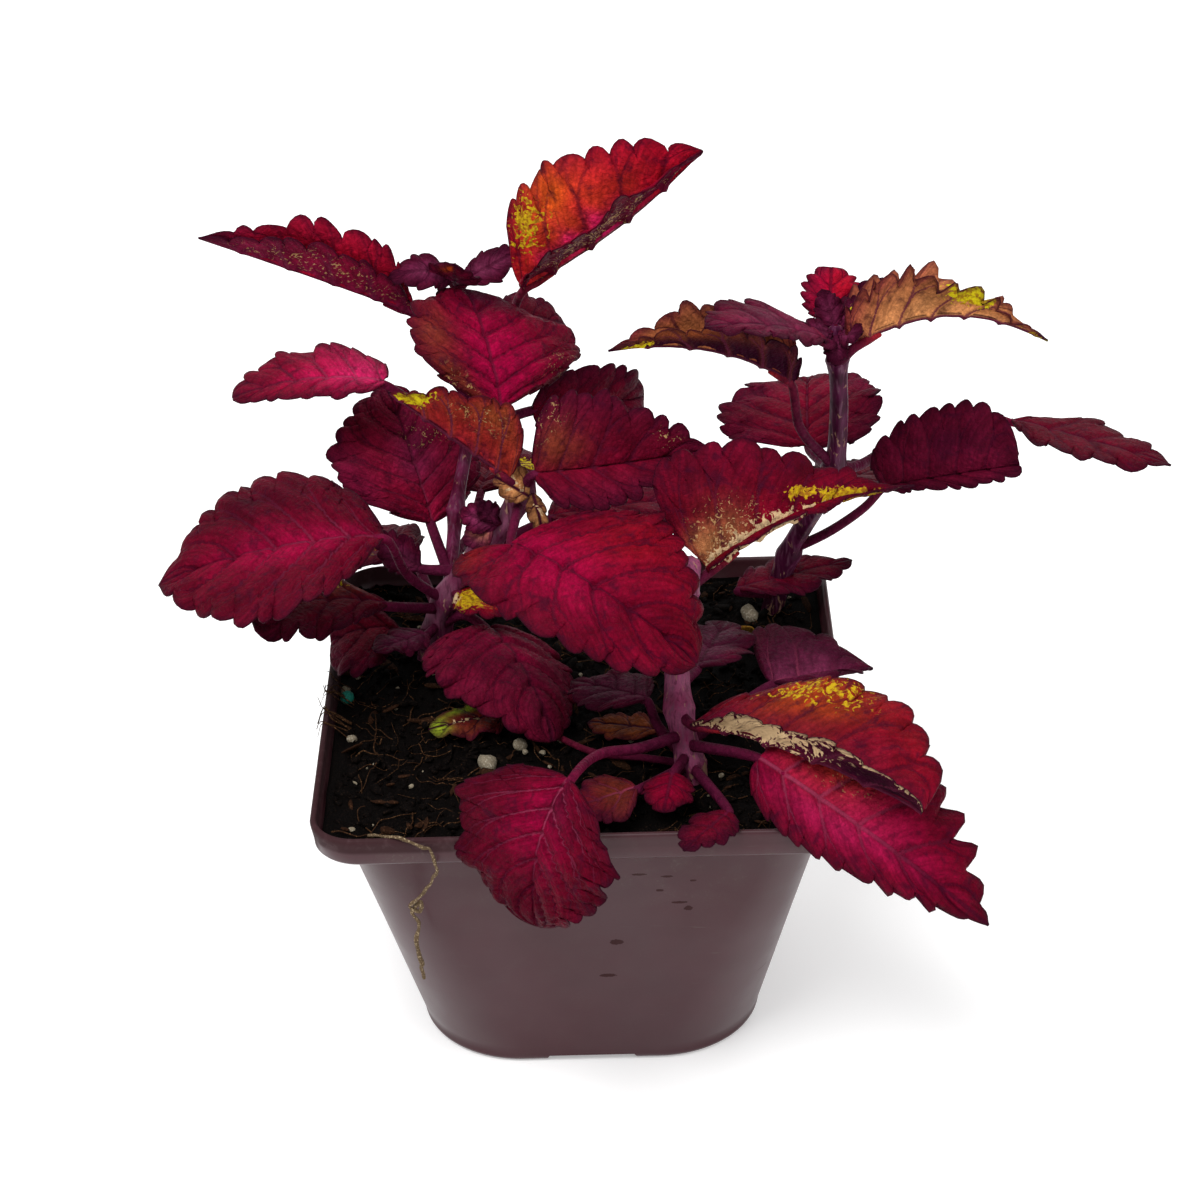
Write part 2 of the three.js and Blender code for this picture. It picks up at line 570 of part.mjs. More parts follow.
    ear: [2.5, 1], arch: 0.7, shape: [0.5, 0.6], teeth: 5 },
  { name: 'leaf_right_4', tone: 'bronze', stem: 'right', at: 131,
    base: [55, 14.5, 137], tip: [93, 10.5, 139], face: [0, 0.4, 0.8], wide: [12.5, 11],
    fold: [64, 62], curl: [9, 10], arch: 5.4, shape: [0.42, 1.5], teeth: 9 },
  { name: 'leaf_right_5', tone: 'maroon', stem: 'right', at: 105,
    base: [48, 36, 103.5], tip: [50, 67, 104], face: [-0.1, 0, 1], wide: [18.5, 15.5],
    fold: [8, 15], curl: [12, 10], ear: [0, 6.5], arch: 2.5, shape: [0.4, 0.8], teeth: 8 },
  { name: 'leaf_right_6', tone: 'maroon', stem: 'right', at: 79, by: [[52.5, 33, 85], [59.5, 32, 91]],
    base: [63.5, 31, 96.5], tip: [90.5, 24, 104.5], face: [0, -0.6, 0.55], wide: [15.5, 3],
    fold: [43, 17], curl: [9, 9], ear: [13, 4], arch: 0.7, shape: [0.6, 0.35], teeth: 8 },
  { name: 'leaf_right_7', tone: 'crimson', stem: 'right', at: 106,
    by: [[58, 31, 101.5], [66, 41, 100.5], [76, 44.5, 102.5], [85, 43, 106]],
    base: [90, 37, 108], tip: [121, 22, 104.5], face: [0, 0.15, 1], wide: [12, 9.5], fold: [5, 6],
    curl: [10, 10], ear: [0, 3], shape: [0.9, 1.15], teeth: 7 },
  { name: 'leaf_right_8', tone: 'maroon', stem: 'right', at: 68,
    base: [33, 32, 72], tip: [58, 43, 72], face: [0, 0, 1], wide: [7, 7], teeth: 6 },
  { name: 'leaf_right_9', tone: 'plum', stem: 'right', at: 133,
    base: [54, 20, 136.5], tip: [62, 26.5, 146], face: [-0.5, -0.8, 0.2], wide: [4.5, 4], teeth: 4 },
  { name: 'leaf_right_10', tone: 'maroon', stem: 'right', at: 92,
    base: [54, 44, 90], tip: [68, 66, 82], face: [0, 0, 1], wide: [10, 10], teeth: 6 },
];

// The youngest leaves, grown together round the left shoot's tip.
const CROWN = {
  name: 'crown_left',
  tone: 'maroon',
  bud: { centre: [-23, 38, 141.5], radius: 2 },
  leaves: [
    { base: [-24.5, 37, 143.5], tip: [-33, 32, 149], face: [0.2, -0.5, 0.8], wide: [4, 3.5], teeth: 4 },
    { base: [-23.5, 36, 143.5], tip: [-23, 31, 151.5], face: [0, -0.8, 0.6], wide: [4.5, 4], teeth: 4 },
    { base: [-22, 38, 143], tip: [-12.5, 42, 146.5], face: [0, -0.5, 0.8], wide: [3, 3], teeth: 4 },
  ],
};

function crownSolid({ bud, leaves }) {
  const ball = new THREE.IcosahedronGeometry(bud.radius, 0);
  ball.translate(...bud.centre);
  const centre = vector(bud.centre);
  return leaves.reduce((whole, leaf) => {
    const surface = new BladeSurface(leaf);
    const stalk = sweep(
      new THREE.CatmullRomCurve3([centre, surface.midrib(0), surface.midrib(0.3)]),
      (t) => THREE.MathUtils.lerp(STALK.root, STALK.end, t), STALK.sides, 2,
    );
    return whole.add(solidOf(stalk)).add(bladeSolid(surface, leaf.teeth));
  }, solidOf(ball));
}

function attach(name, tone, solid) {
  const material = new THREE.MeshStandardMaterial({ color: tone, roughness: 0.55, metalness: 0 });
  const mesh = new THREE.Mesh(geometryOf(solid), material);
  mesh.name = name;
  return mesh;
}

const plant = new THREE.Group();
plant.add(attach('pot', 0x4c363c, makePot()));
plant.add(attach('soil', 0x16120f, makeSoil()));
plant.add(attach('stem_middle', 0x6b4a63, stemSolid('middle').add(stemSolid('left'))));
plant.add(attach('stem_front', 0x7b5a72, stemSolid('front')));
plant.add(attach('stem_right', 0x4a1c38, stemSolid('right')));

for (const leaf of LEAVES) {
  const solid = leafSolid(leaf).subtract(roomFor[leaf.stem]);
  plant.add(attach(leaf.name, LEAF_TONES[leaf.tone], solid));
}

plant.add(attach(CROWN.name, LEAF_TONES[CROWN.tone], crownSolid(CROWN).subtract(roomFor.left)));

export default plant;
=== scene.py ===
"""A young coleus in its square nursery pot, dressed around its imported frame.

Three leafy stems stand in dark peat, in a thin maroon pot. Each leaf is a closed quilted
blade with lobed margins on its own stalk, and its colours follow from where a point lies
between the midrib, the side veins and the margin. The tables are in millimetres, and the
meshes are in metres.
"""

from __future__ import annotations

import logging
import math
from dataclasses import dataclass, replace
from enum import Enum
from typing import Callable, Sequence, Union

import bmesh
import bpy
import numpy as np
from mathutils import Matrix, Vector

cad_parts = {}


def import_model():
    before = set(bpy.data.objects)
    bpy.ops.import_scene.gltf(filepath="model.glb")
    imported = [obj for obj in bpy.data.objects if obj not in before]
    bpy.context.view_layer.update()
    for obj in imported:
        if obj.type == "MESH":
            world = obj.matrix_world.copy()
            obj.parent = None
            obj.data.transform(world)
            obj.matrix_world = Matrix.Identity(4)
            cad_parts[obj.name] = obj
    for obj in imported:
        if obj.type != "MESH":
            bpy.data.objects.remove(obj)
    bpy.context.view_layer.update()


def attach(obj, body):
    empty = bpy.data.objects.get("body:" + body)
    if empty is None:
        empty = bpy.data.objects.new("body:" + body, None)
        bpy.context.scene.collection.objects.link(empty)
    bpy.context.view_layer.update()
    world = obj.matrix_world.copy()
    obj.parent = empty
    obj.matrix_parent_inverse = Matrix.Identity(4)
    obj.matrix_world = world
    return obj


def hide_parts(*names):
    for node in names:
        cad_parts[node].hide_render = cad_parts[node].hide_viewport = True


log = logging.getLogger("coleus")

MM = 0.001
BODY = "root"
Array = np.ndarray
Thing = bpy.types.Object
Material = bpy.types.Material
Socket = bpy.types.NodeSocket
Point = tuple[float, float, float]
Pair = tuple[float, float]
Feed = Union[Socket, float, tuple]
Feeds = dict[str, Feed]
Values = dict[str, Array]

# The mesh layers for values of one, three and four numbers, and the field that holds each.
LAYERS = {1: ("FLOAT", "value"), 3: ("FLOAT_VECTOR", "vector"), 4: ("FLOAT_COLOR", "color")}


# ---- small geometry


def unit(vectors: Array) -> Array:
    """Scales each vector to a length of one."""
    return vectors / np.linalg.norm(vectors, axis=-1, keepdims=True)


def smoothstep(low: float, high: float, value: Array) -> Array:
    """Rises smoothly from 0 at low to 1 at high, or falls where low is the larger."""
    share = np.clip((value - low) / (high - low), 0, 1)
    return share * share * (3 - 2 * share)


def catmull_rom(points: Sequence[Point], shares: Array) -> Array:
    """Places on a centripetal Catmull-Rom curve.

    Args:
        points: What the curve passes, in order.
        shares: Places along it from 0 to 1, with the same share for each stretch.

    Returns:
        One place in each row.
    """
    path = np.array(points, float)
    path = np.vstack([2 * path[0] - path[1], path, 2 * path[-1] - path[-2]])
    places = np.clip(shares, 0, 1) * (len(points) - 1)
    index = np.minimum(places.astype(int), len(points) - 2)
    t = (places - index)[:, None]
    p0, p1, p2, p3 = (path[index + k] for k in range(4))
    gaps = (p1 - p0, p2 - p1, p3 - p2)
    d0, d1, d2 = (np.sqrt(np.linalg.norm(gap, axis=1, keepdims=True)) for gap in gaps)
    start = ((p1 - p0) / d0 - (p2 - p0) / (d0 + d1) + (p2 - p1) / d1) * d1
    end = ((p2 - p1) / d1 - (p3 - p1) / (d1 + d2) + (p3 - p2) / d2) * d1
    square = 3 * (p2 - p1) - 2 * start - end
    cube = 2 * (p1 - p2) + start + end
    return p1 + start * t + square * t**2 + cube * t**3


def grid_faces(rows: int, columns: int, first: int = 0, closed: bool = False) -> Array:
    """Four-sided faces of a grid of points, stored row by row.

    Args:
        rows: Rows of points.
        columns: Points in a row.
        first: Number of the grid's first point.
        closed: Whether the last column joins the first one.

    Returns:
        One face in each row.
    """
    row, column = np.meshgrid(np.arange(rows - 1), np.arange(columns - (not closed)), indexing="ij")
    after = (column + 1) % columns
    corners = (row * columns + column, row * columns + after)
    corners += ((row + 1) * columns + after, (row + 1) * columns + column)
    return np.stack([corner.ravel() for corner in corners], 1) + first


def linked(name: str, data: bpy.types.ID) -> Thing:
    """Makes an object of some data and puts it in the scene.

    Args:
        name: The object's name.
        data: Its mesh, camera or light.

    Returns:
        The object.
    """
    thing = bpy.data.objects.new(name, data)
    bpy.context.scene.collection.objects.link(thing)
    return thing


@dataclass
class Skin:
    """A closed surface.

    Attributes:
        points: Its points in millimetres, one in each row.
        faces: The numbers of each face's corners.
        values: What the points carry, by name, with one row for each point.
    """

    points: Array
    faces: list[list[int]]
    values: Values

    @staticmethod
    def joined(skins: Sequence[Skin]) -> Skin:
        """Puts several surfaces that carry the same values into one.

        Args:
            skins: The surfaces.

        Returns:
            One surface with all their points and faces.
        """
        faces: list[list[int]] = []
        count = 0
        for skin in skins:
            faces += [[corner + count for corner in face] for face in skin.faces]
            count += len(skin.points)
        names = skins[0].values
        values = {name: np.concatenate([skin.values[name] for skin in skins]) for name in names}
        return Skin(np.concatenate([skin.points for skin in skins]), faces, values)

    def to_object(self, name: str) -> Thing:
        """Makes a mesh object.

        Args:
            name: The piece's name.

        Returns:
            The object, with its faces turned outward and shaded smooth.
        """
        mesh = bpy.data.meshes.new(name)
        mesh.from_pydata((self.points * MM).tolist(), [], self.faces)
        for key, value in self.values.items():
            kind, field = LAYERS[value.shape[1]]
            layer = mesh.attributes.new(key, kind, "POINT")
            layer.data.foreach_set(field, np.ascontiguousarray(value, np.float32).ravel())
        body = bmesh.new()
        body.from_mesh(mesh)
        bmesh.ops.recalc_face_normals(body, faces=body.faces)
        body.to_mesh(mesh)
        body.free()
        mesh.shade_smooth()
        return linked(name, mesh)


def tube(
    path: Array,
    radius: Callable[[Array, Array], Array],
    sides: int,
    values: Values,
) -> Skin:
    """A closed round section carried along a path.

    Args:
        path: The middle line, one place in each row.
        radius: Gives the radius at shares of the path's length (rows) and angles (columns).
        sides: Points round the section.
        values: What the points carry, one row for each ring. They get one row a point.

    Returns:
        The surface, with a rounded cap at each end.
    """
    along = unit(np.gradient(path, axis=0))
    normal = np.empty_like(along)
    guess = np.eye(3)[np.argmin(np.abs(along[0]))]
    for k, way in enumerate(along):
        guess = unit(guess - way * (guess @ way))
        normal[k] = guess
    across = np.cross(along, normal)
    angles = np.linspace(0, 2 * math.pi, sides, endpoint=False)[None, :]
    shares = np.linspace(0, 1, len(path))[:, None]
    size = np.broadcast_to(radius(shares, angles), (len(path), sides))[..., None]
    cosine, sine = np.cos(angles)[..., None], np.sin(angles)[..., None]
    rings = path[:, None] + size * (normal[:, None] * cosine + across[:, None] * sine)
    domes = []
    for ring, way in ((0, -along[0]), (-1, along[-1])):
        middle = path[ring]
        size_there = np.linalg.norm(rings[ring] - middle, axis=1).mean()
        domes.append(middle + (rings[ring] - middle) * 0.7 + way * 0.5 * size_there)
        domes.append((middle + way * 0.8 * size_there)[None])
    low_ring, low_tip, high_ring, high_tip = domes
    points = np.vstack([low_ring, rings.reshape(-1, 3), high_ring, low_tip, high_tip])
    rows = len(path) + 2
    faces = grid_faces(rows, sides, closed=True).tolist()
    last = (rows - 1) * sides
    for k in range(sides):
        after = (k + 1) % sides
        faces.append([after, k, rows * sides])
        faces.append([last + k, last + after, rows * sides + 1])
    carried = {}
    for name, value in values.items():
        each = np.repeat(value, sides, axis=0)
        carried[name] = np.vstack([each[:sides], each, each[-sides:], each[:1], each[-1:]])
    return Skin(points, faces, carried)


# ---- shaders


class Graph:
    """A node tree in the making. Most of its methods add a node and return its output."""

    def __init__(self, tree: bpy.types.NodeTree) -> None:
        """Keeps the tree that the nodes go into."""
        self.tree = tree

    def node(
        self, kind: str, inputs: dict[Union[str, int], Feed] | None = None, **settings: object
    ) -> bpy.types.Node:
        """Adds a node.

        Args:
            kind: The node's type, without the leading "ShaderNode".
            inputs: Values or outputs for its sockets, by name or number.
            **settings: The node's own properties.

        Returns:
            The node.
        """
        made = self.tree.nodes.new(kind if kind.startswith("Node") else "ShaderNode" + kind)
        for key, value in settings.items():
            setattr(made, key, value)
        for key, value in (inputs or {}).items():
            self.feed(made.inputs[key], value)
        return made

    def feed(self, socket: Socket, value: Feed) -> None:
        """Links an output to a socket, or sets the socket's own value.

        Args:
            socket: The socket.
            value: An output, or a number or colour.
        """
        if isinstance(value, Socket):
            self.tree.links.new(value, socket)
        elif isinstance(value, tuple) and len(value) == 3 and socket.type == "RGBA":
            socket.default_value = (*value, 1)
        else:
            socket.default_value = value

    def math(self, operation: str, a: Feed, b: Feed = 0.0, c: Feed = 0.0) -> Socket:
        """One sum on numbers."""
        return self.node("Math", {0: a, 1: b, 2: c}, operation=operation).outputs[0]

    def times(self, a: Feed, b: Feed) -> Socket:
        """Multiplies a by b."""
        return self.math("MULTIPLY", a, b)

    def fit(self, a: Feed, b: Feed, c: Feed) -> Socket:
        """Multiplies a by b and adds c."""
        return self.math("MULTIPLY_ADD", a, b, c)

    def plus(self, a: Feed, b: Feed) -> Socket:
        """Adds a and b."""
        return self.math("ADD", a, b)

    def less(self, a: Feed, b: Feed) -> Socket:
        """Takes b from a."""
        return self.math("SUBTRACT", a, b)

    def most(self, a: Feed, b: Feed) -> Socket:
        """Gives the larger one."""
        return self.math("MAXIMUM", a, b)

    def step(
        self, value: Feed, low: Feed, high: Feed, start: float = 0.0, end: float = 1.0
    ) -> Socket:
        """A smooth step from start to end while the value goes from low to high."""
        inputs = {"Value": value, "From Min": low, "From Max": high, "To Min": start, "To Max": end}
        return self.node("MapRange", inputs, interpolation_type="SMOOTHSTEP").outputs[0]

    def mix(self, share: Feed, a: Feed, b: Feed, blend: str = "MIX") -> Socket:
        """Two colours mixed by a share."""
        made = self.node("Mix", {0: share, 6: a, 7: b}, data_type="RGBA", blend_type=blend)
        return made.outputs[2]

    def dimmed(self, color: Feed, level: Feed) -> Socket:
        """A colour made darker or lighter by a number."""
        grey = self.node("CombineXYZ", {0: level, 1: level, 2: level}).outputs[0]
        return self.mix(1.0, color, grey, "MULTIPLY")

    def place(self, scale: Point = (1, 1, 1)) -> Socket:
        """The place on the object in millimetres, stretched by a scale."""
        where, sizes = self.node("TexCoord").outputs["Object"], tuple(share / MM for share in scale)
        return self.node("VectorMath", {0: where, 1: sizes}, operation="MULTIPLY").outputs[0]

    def noise(self, where: Feed, scale: Feed, detail: float = 2.0, warp: float = 0.0) -> Socket:
        """Soft noise from 0 to 1 with so many waves in a millimetre."""
        inputs = {"Vector": where, "Scale": scale, "Detail": detail, "Distortion": warp}
        return self.node("TexNoise", inputs).outputs[0]

    def cells(self, where: Feed, scale: float, feature: str = "DISTANCE_TO_EDGE") -> Socket:
        """Distance in a net of cells, with so many cells in a millimetre."""
        inputs = {"Vector": where, "Scale": scale}
        return self.node("TexVoronoi", inputs, feature=feature).outputs["Distance"]

    def carried(self, name: str, output: str = "Fac") -> Socket:
        """A value that the mesh's points carry."""
        return self.node("Attribute", attribute_name=name).outputs[output]

    def parts(self, vector: Feed) -> tuple[Socket, ...]:
        """The three numbers in a vector."""
        return tuple(self.node("SeparateXYZ", {0: vector}).outputs)


@dataclass(frozen=True)
class Effect:
    """A node group for several materials: its inputs' starting values, and its outputs' kinds.

    What wire returns goes to the outputs.
    """

    name: str
    inputs: Feeds
    outputs: dict[str, str]
    wire: Callable[[Graph, dict[str, Socket]], Feeds]

    def tree(self) -> bpy.types.NodeTree:
        """Builds the group the first time that it is asked for.

        Returns:
            The group.
        """
        if self.name in bpy.data.node_groups:
            return bpy.data.node_groups[self.name]
        tree = bpy.data.node_groups.new(self.name, "ShaderNodeTree")
        for key, value in self.inputs.items():
            kind = "NodeSocketFloat" if isinstance(value, float) else "NodeSocketColor"
            socket = tree.interface.new_socket(key, in_out="INPUT", socket_type=kind)
            socket.default_value = value if isinstance(value, float) else (*value, 1)
        for key, kind in self.outputs.items():
            tree.interface.new_socket(key, in_out="OUTPUT", socket_type="NodeSocket" + kind)
        graph = Graph(tree)
        given = graph.node("NodeGroupInput")
        made = self.wire(graph, {key: given.outputs[key] for key in self.inputs})
        graph.node("NodeGroupOutput", made)
        return tree

    def use(self, graph: Graph, inputs: Feeds) -> bpy.types.Node:
        """Places the group in a material with its own values."""
        return graph.node("Group", inputs, node_tree=self.tree())


def wire_mottle(graph: Graph, given: dict[str, Socket]) -> Feeds:
    """Uneven colour: broad clouds and fine grain round the colour that is given.

    Args:
        graph: The group's tree.
        given: The group's inputs.

    Returns:
        The uneven colour, its grain and its clouds.
    """
    where = graph.place()
    cloud = graph.noise(where, given["Cloud Scale"], 3.0)
    grain = graph.noise(where, 2.6, 3.0)
    both = graph.fit(cloud, 0.7, graph.times(grain, 0.3))
    swing = graph.times(graph.less(both, 0.5), given["Contrast"])
    tinted = graph.dimmed(given["Color"], graph.plus(swing, 1.0))
    return {"Color": tinted, "Grain": grain, "Cloud": cloud}


MOTTLE = Effect(
    name="Mottle",
    inputs={"Color": (0.5, 0.5, 0.5), "Cloud Scale": 0.3, "Contrast": 1.0},
    outputs={"Color": "Color", "Grain": "Float", "Cloud": "Float"},
    wire=wire_mottle,
)


def wire_dust(graph: Graph, given: dict[str, Socket]) -> Feeds:
    """Soil dust: fine specks that gather in clouds, thicker towards a height.

    Args:
        graph: The group's tree.
        given: The group's inputs.

    Returns:
        How much of the surface the dust covers.
    """
    where = graph.place()
    _, _, height = graph.parts(where)
    off = graph.math("ABSOLUTE", graph.less(height, given["Height"]))
    near = graph.step(off, given["Reach"], 0.0)
    cloud = graph.step(graph.noise(where, 0.22, 4.0), 0.42, 0.72)
    speck = graph.step(graph.noise(where, 1.7, 3.0), 0.56, 0.68)
    amount = graph.times(graph.fit(near, 0.8, 0.2), cloud)
    share = graph.times(graph.fit(speck, 0.7, 0.3), amount)
    return {"Dust": graph.times(share, given["Amount"])}


DUST = Effect(
    name="Soil dust",
    inputs={"Height": 66.0, "Reach": 12.0, "Amount": 1.0},
    outputs={"Dust": "Float"},
    wire=wire_dust,
)


def wire_blade(graph: Graph, given: dict[str, Socket]) -> Feeds:
    """A leaf's pattern: streaks, veins, dark rim, and its gold and cream patches.

    The mesh carries "blade", which is how far a point lies from midrib to margin (-1 to 1),
    the half's width in millimetres and the side veins' phase, "marks", which is how strongly
    gold, cream and flecks show there, and "pale", which tells light veins from dark ones.

    Args:
        graph: The group's tree.
        given: The group's inputs.

    Returns:
        The colour, the relief's height and the roughness.
    """
    where = graph.place()
    out, width, phase = graph.parts(graph.carried("blade", "Vector"))
    gold, cream, fleck = graph.parts(graph.carried("marks", "Vector"))
    out = graph.math("ABSOLUTE", out)
    away = graph.times(out, width)
    grain = graph.noise(where, 1.9, 3.0)
    ragged = graph.less(grain, 0.5)
    lengthwise = {0: graph.times(phase, 9.0), 1: graph.times(away, 0.3)}
    streak = graph.noise(graph.node("CombineXYZ", lengthwise).outputs[0], 1.0, 4.0, 0.4)
    blotch = graph.noise(where, 0.42, 4.0, 0.5)
    wander = graph.fit(ragged, 0.12, phase)
    fork = graph.times(graph.step(out, 0.4, 1.0), 0.25)
    beside = graph.math("ABSOLUTE", graph.less(graph.math("PINGPONG", wander, 0.5), fork))
    side = graph.step(beside, graph.fit(out, -0.045, 0.085), 0.012)
    side = graph.times(side, graph.step(out, 1.0, 0.5, 0.35, 0.85))
    middle = graph.step(away, 0.6, 0.15)
    vein = graph.most(side, middle)
    net = graph.step(graph.cells(where, 1.15), 0.0, 0.16)
    cell = graph.cells(where, 0.6)
    puff = graph.step(cell, 0.0, 0.3, -0.13, 0.06)
    swing = graph.less(streak, 0.5)
    level = graph.fit(swing, 1.4, graph.plus(puff, 1.0))
    color = graph.dimmed(given["Color"], graph.most(level, 0.25))
    shade = graph.step(blotch, 0.5, 0.74, 0.0, 0.65)
    color = graph.mix(shade, color, given["Dark Vein"])
    color = graph.mix(graph.fit(net, -0.15, 0.15), color, given["Dark Vein"])
    line = graph.mix(graph.carried("pale"), given["Dark Vein"], given["Pale Vein"])
    color = graph.mix(graph.times(vein, given["Vein"]), color, line)
    blot = graph.noise(where, 0.6, 3.0, 1.4)
    swing = graph.less(blot, 0.5)
    uneven = graph.fit(swing, 2.4, graph.times(vein, -0.2))
    rich = graph.step(graph.plus(gold, uneven), 0.42, 0.52)
    gold = graph.times(graph.step(gold, 0.04, 0.3), rich)
    aged = graph.step(graph.noise(where, 1.1, 2.0), 0.4, 0.62)
    color = graph.mix(gold, color, graph.mix(aged, given["Gold"], given["Old Gold"]))
    pasty = graph.step(graph.plus(cream, uneven), 0.4, 0.5)
    cream = graph.times(graph.step(cream, 0.04, 0.3), pasty)
    bits = graph.noise(where, 0.85, 2.0, 2.2)
    bits = graph.plus(bits, graph.fit(blotch, 0.5, -0.25))
    bits = graph.step(graph.fit(fleck, 0.14, bits), 0.68, 0.73)
    bits = graph.times(bits, graph.step(fleck, 0.05, 0.4, 0.0, 0.85))
    color = graph.mix(bits, color, graph.mix(blotch, given["Cream"], given["Old Gold"]))
    darkening = graph.step(streak, 0.5, 0.3, 0.0, 0.6)
    color = graph.mix(cream, color, graph.mix(darkening, given["Cream"], given["Rim"]))
    inside = graph.less(width, away)
    wavy = graph.fit(ragged, 1.4, inside)
    color = graph.mix(graph.step(wavy, 1.6, 0.1, 0.0, 0.45), color, given["Rim"])
    edge = graph.step(graph.fit(ragged, 0.5, inside), 0.35, 0.03, 0.0, 0.5)
    color = graph.mix(edge, color, given["Rim"])
    puffs = graph.fit(graph.step(cell, 0.0, 0.5), 0.9, graph.times(net, 0.3))
    height = graph.less(puffs, graph.times(vein, 0.9))
    height = graph.fit(streak, 0.5, graph.fit(grain, 0.3, height))
    rough = graph.fit(grain, 0.3, given["Roughness"])
    return {"Color": color, "Height": height, "Roughness": rough}


BLADE_PATTERN = Effect(
    name="Blade pattern",
    inputs={
        "Color": (0.2, 0.01, 0.03),
        "Dark Vein": (0.05, 0.003, 0.015),
        "Pale Vein": (0.3, 0.06, 0.12),
        "Rim": (0.02, 0.003, 0.01),
        "Gold": (0.5, 0.4, 0.01),
        "Old Gold": (0.3, 0.16, 0.01),
        "Cream": (0.6, 0.42, 0.25),
        "Roughness": 0.45,
        "Vein": 0.62,
    },
    outputs={"Color": "Color", "Height": "Float", "Roughness": "Float"},
    wire=wire_blade,
)


def surface(
    name: str,
    wire: Callable[[Graph], Feeds],
    fixed: Feeds | None = None,
    bump: Pair = (0.4, 0.2),
) -> Material:
    """Makes a material round one Principled shader.

    Args:
        name: The material's name.
        wire: Builds its nodes and returns the shader's changing inputs and its "Height".
        fixed: The shader's inputs that are the same all over.
        bump: The bump's strength, and the height in millimetres that it stands for.

    Returns:
        The material.
    """
    material = bpy.data.materials.new(name)
    material.use_nodes = True
    material.node_tree.nodes.clear()
    graph = Graph(material.node_tree)
    inputs = wire(graph)
    height = inputs.pop("Height")
    relief = {"Height": height, "Strength": bump[0], "Distance": bump[1] * MM}
    inputs["Normal"] = graph.node("Bump", relief).outputs[0]
    shader = graph.node("BsdfPrincipled", {**(fixed or {}), **inputs})
    graph.node("OutputMaterial", {0: shader.outputs[0]})
    return material


# ---- leaf colours


class Pigment(Enum):
    """Colours of a coleus leaf, as linear red, green and blue."""

    MAGENTA = (0.28, 0.001, 0.034)
    ROSE = (0.35, 0.009, 0.065)
    CRIMSON = (0.135, 0.001, 0.012)
    SCARLET = (0.2, 0.002, 0.009)
    GARNET = (0.085, 0.002, 0.011)
    MAROON = (0.055, 0.002, 0.011)
    PLUM = (0.06, 0.005, 0.021)
    MAUVE = (0.11, 0.016, 0.045)
    DUSK = (0.016, 0.001, 0.007)
    EMBER = (0.3, 0.014, 0.009)
    ORANGE = (0.38, 0.05, 0.006)
    OLIVE = (0.16, 0.04, 0.01)
    LIME = (0.21, 0.27, 0.016)
    TAN = (0.3, 0.125, 0.045)
    BRONZE = (0.19, 0.045, 0.014)


@dataclass(frozen=True)
class Palette:
    """The pigments of a blade from its middle to its margin, on its back and on its stalk."""

    heart: Pigment
    body: Pigment
    margin: Pigment
    back: Pigment
    stalk: Pigment = Pigment.PLUM


class Tone(Enum):
    """The kinds of leaf on the plant, named as in the record's material slots."""

    CRIMSON = Palette(Pigment.MAGENTA, Pigment.CRIMSON, Pigment.GARNET, Pigment.PLUM)
    MAROON = Palette(Pigment.CRIMSON, Pigment.GARNET, Pigment.MAROON, Pigment.PLUM)
    PLUM = Palette(Pigment.MAUVE, Pigment.PLUM, Pigment.MAROON, Pigment.PLUM)
    EMBER = Palette(Pigment.EMBER, Pigment.SCARLET, Pigment.CRIMSON, Pigment.MAROON)
    BRONZE = Palette(Pigment.EMBER, Pigment.BRONZE, Pigment.GARNET, Pigment.BRONZE)

    @property
    def slot(self) -> str:
        """The record's material slot of these leaves."""
        return "leaf_" + self.name.lower()


class Face(Enum):
    """The faces of a blade that a patch colours."""

    UPPER = (1, 0)
    LOWER = (0, 1)
    BOTH = (1, 1)


class Mark(Enum):
    """Patches with a crisp, ragged edge, by their place in the mesh's "marks"."""

    GOLD = 0
    CREAM = 1
    FLECK = 2


@dataclass(frozen=True)
class Patch:
    """An oval on a blade, at u along it and v from the midrib to a margin.

    Attributes:
        kind: A pigment, which fades into its surroundings, or a mark with a crisp edge.
        u: Place of the oval's middle, from base to tip.
        v: Place of its middle, from -1 on the left margin to 1 on the right one.
        du: How far it reaches along the blade.
        dv: How far it reaches across the blade.
        strength: How fully it covers.
        face: The faces that it colours.
    """

    kind: Union[Pigment, Mark]
    u: float
    v: float
    du: float
    dv: float
    strength: float = 1
    face: Face = Face.UPPER

    def cover(self, u: Array, v: Array, under: int) -> Array:
        """How strongly it shows at places on one face: 0 is the upper one, 1 the lower."""
        oval = np.exp(-(((u - self.u) / self.du) ** 2) - ((v - self.v) / self.dv) ** 2)
        return self.strength * self.face.value[under] * oval


# ---- leaf forms


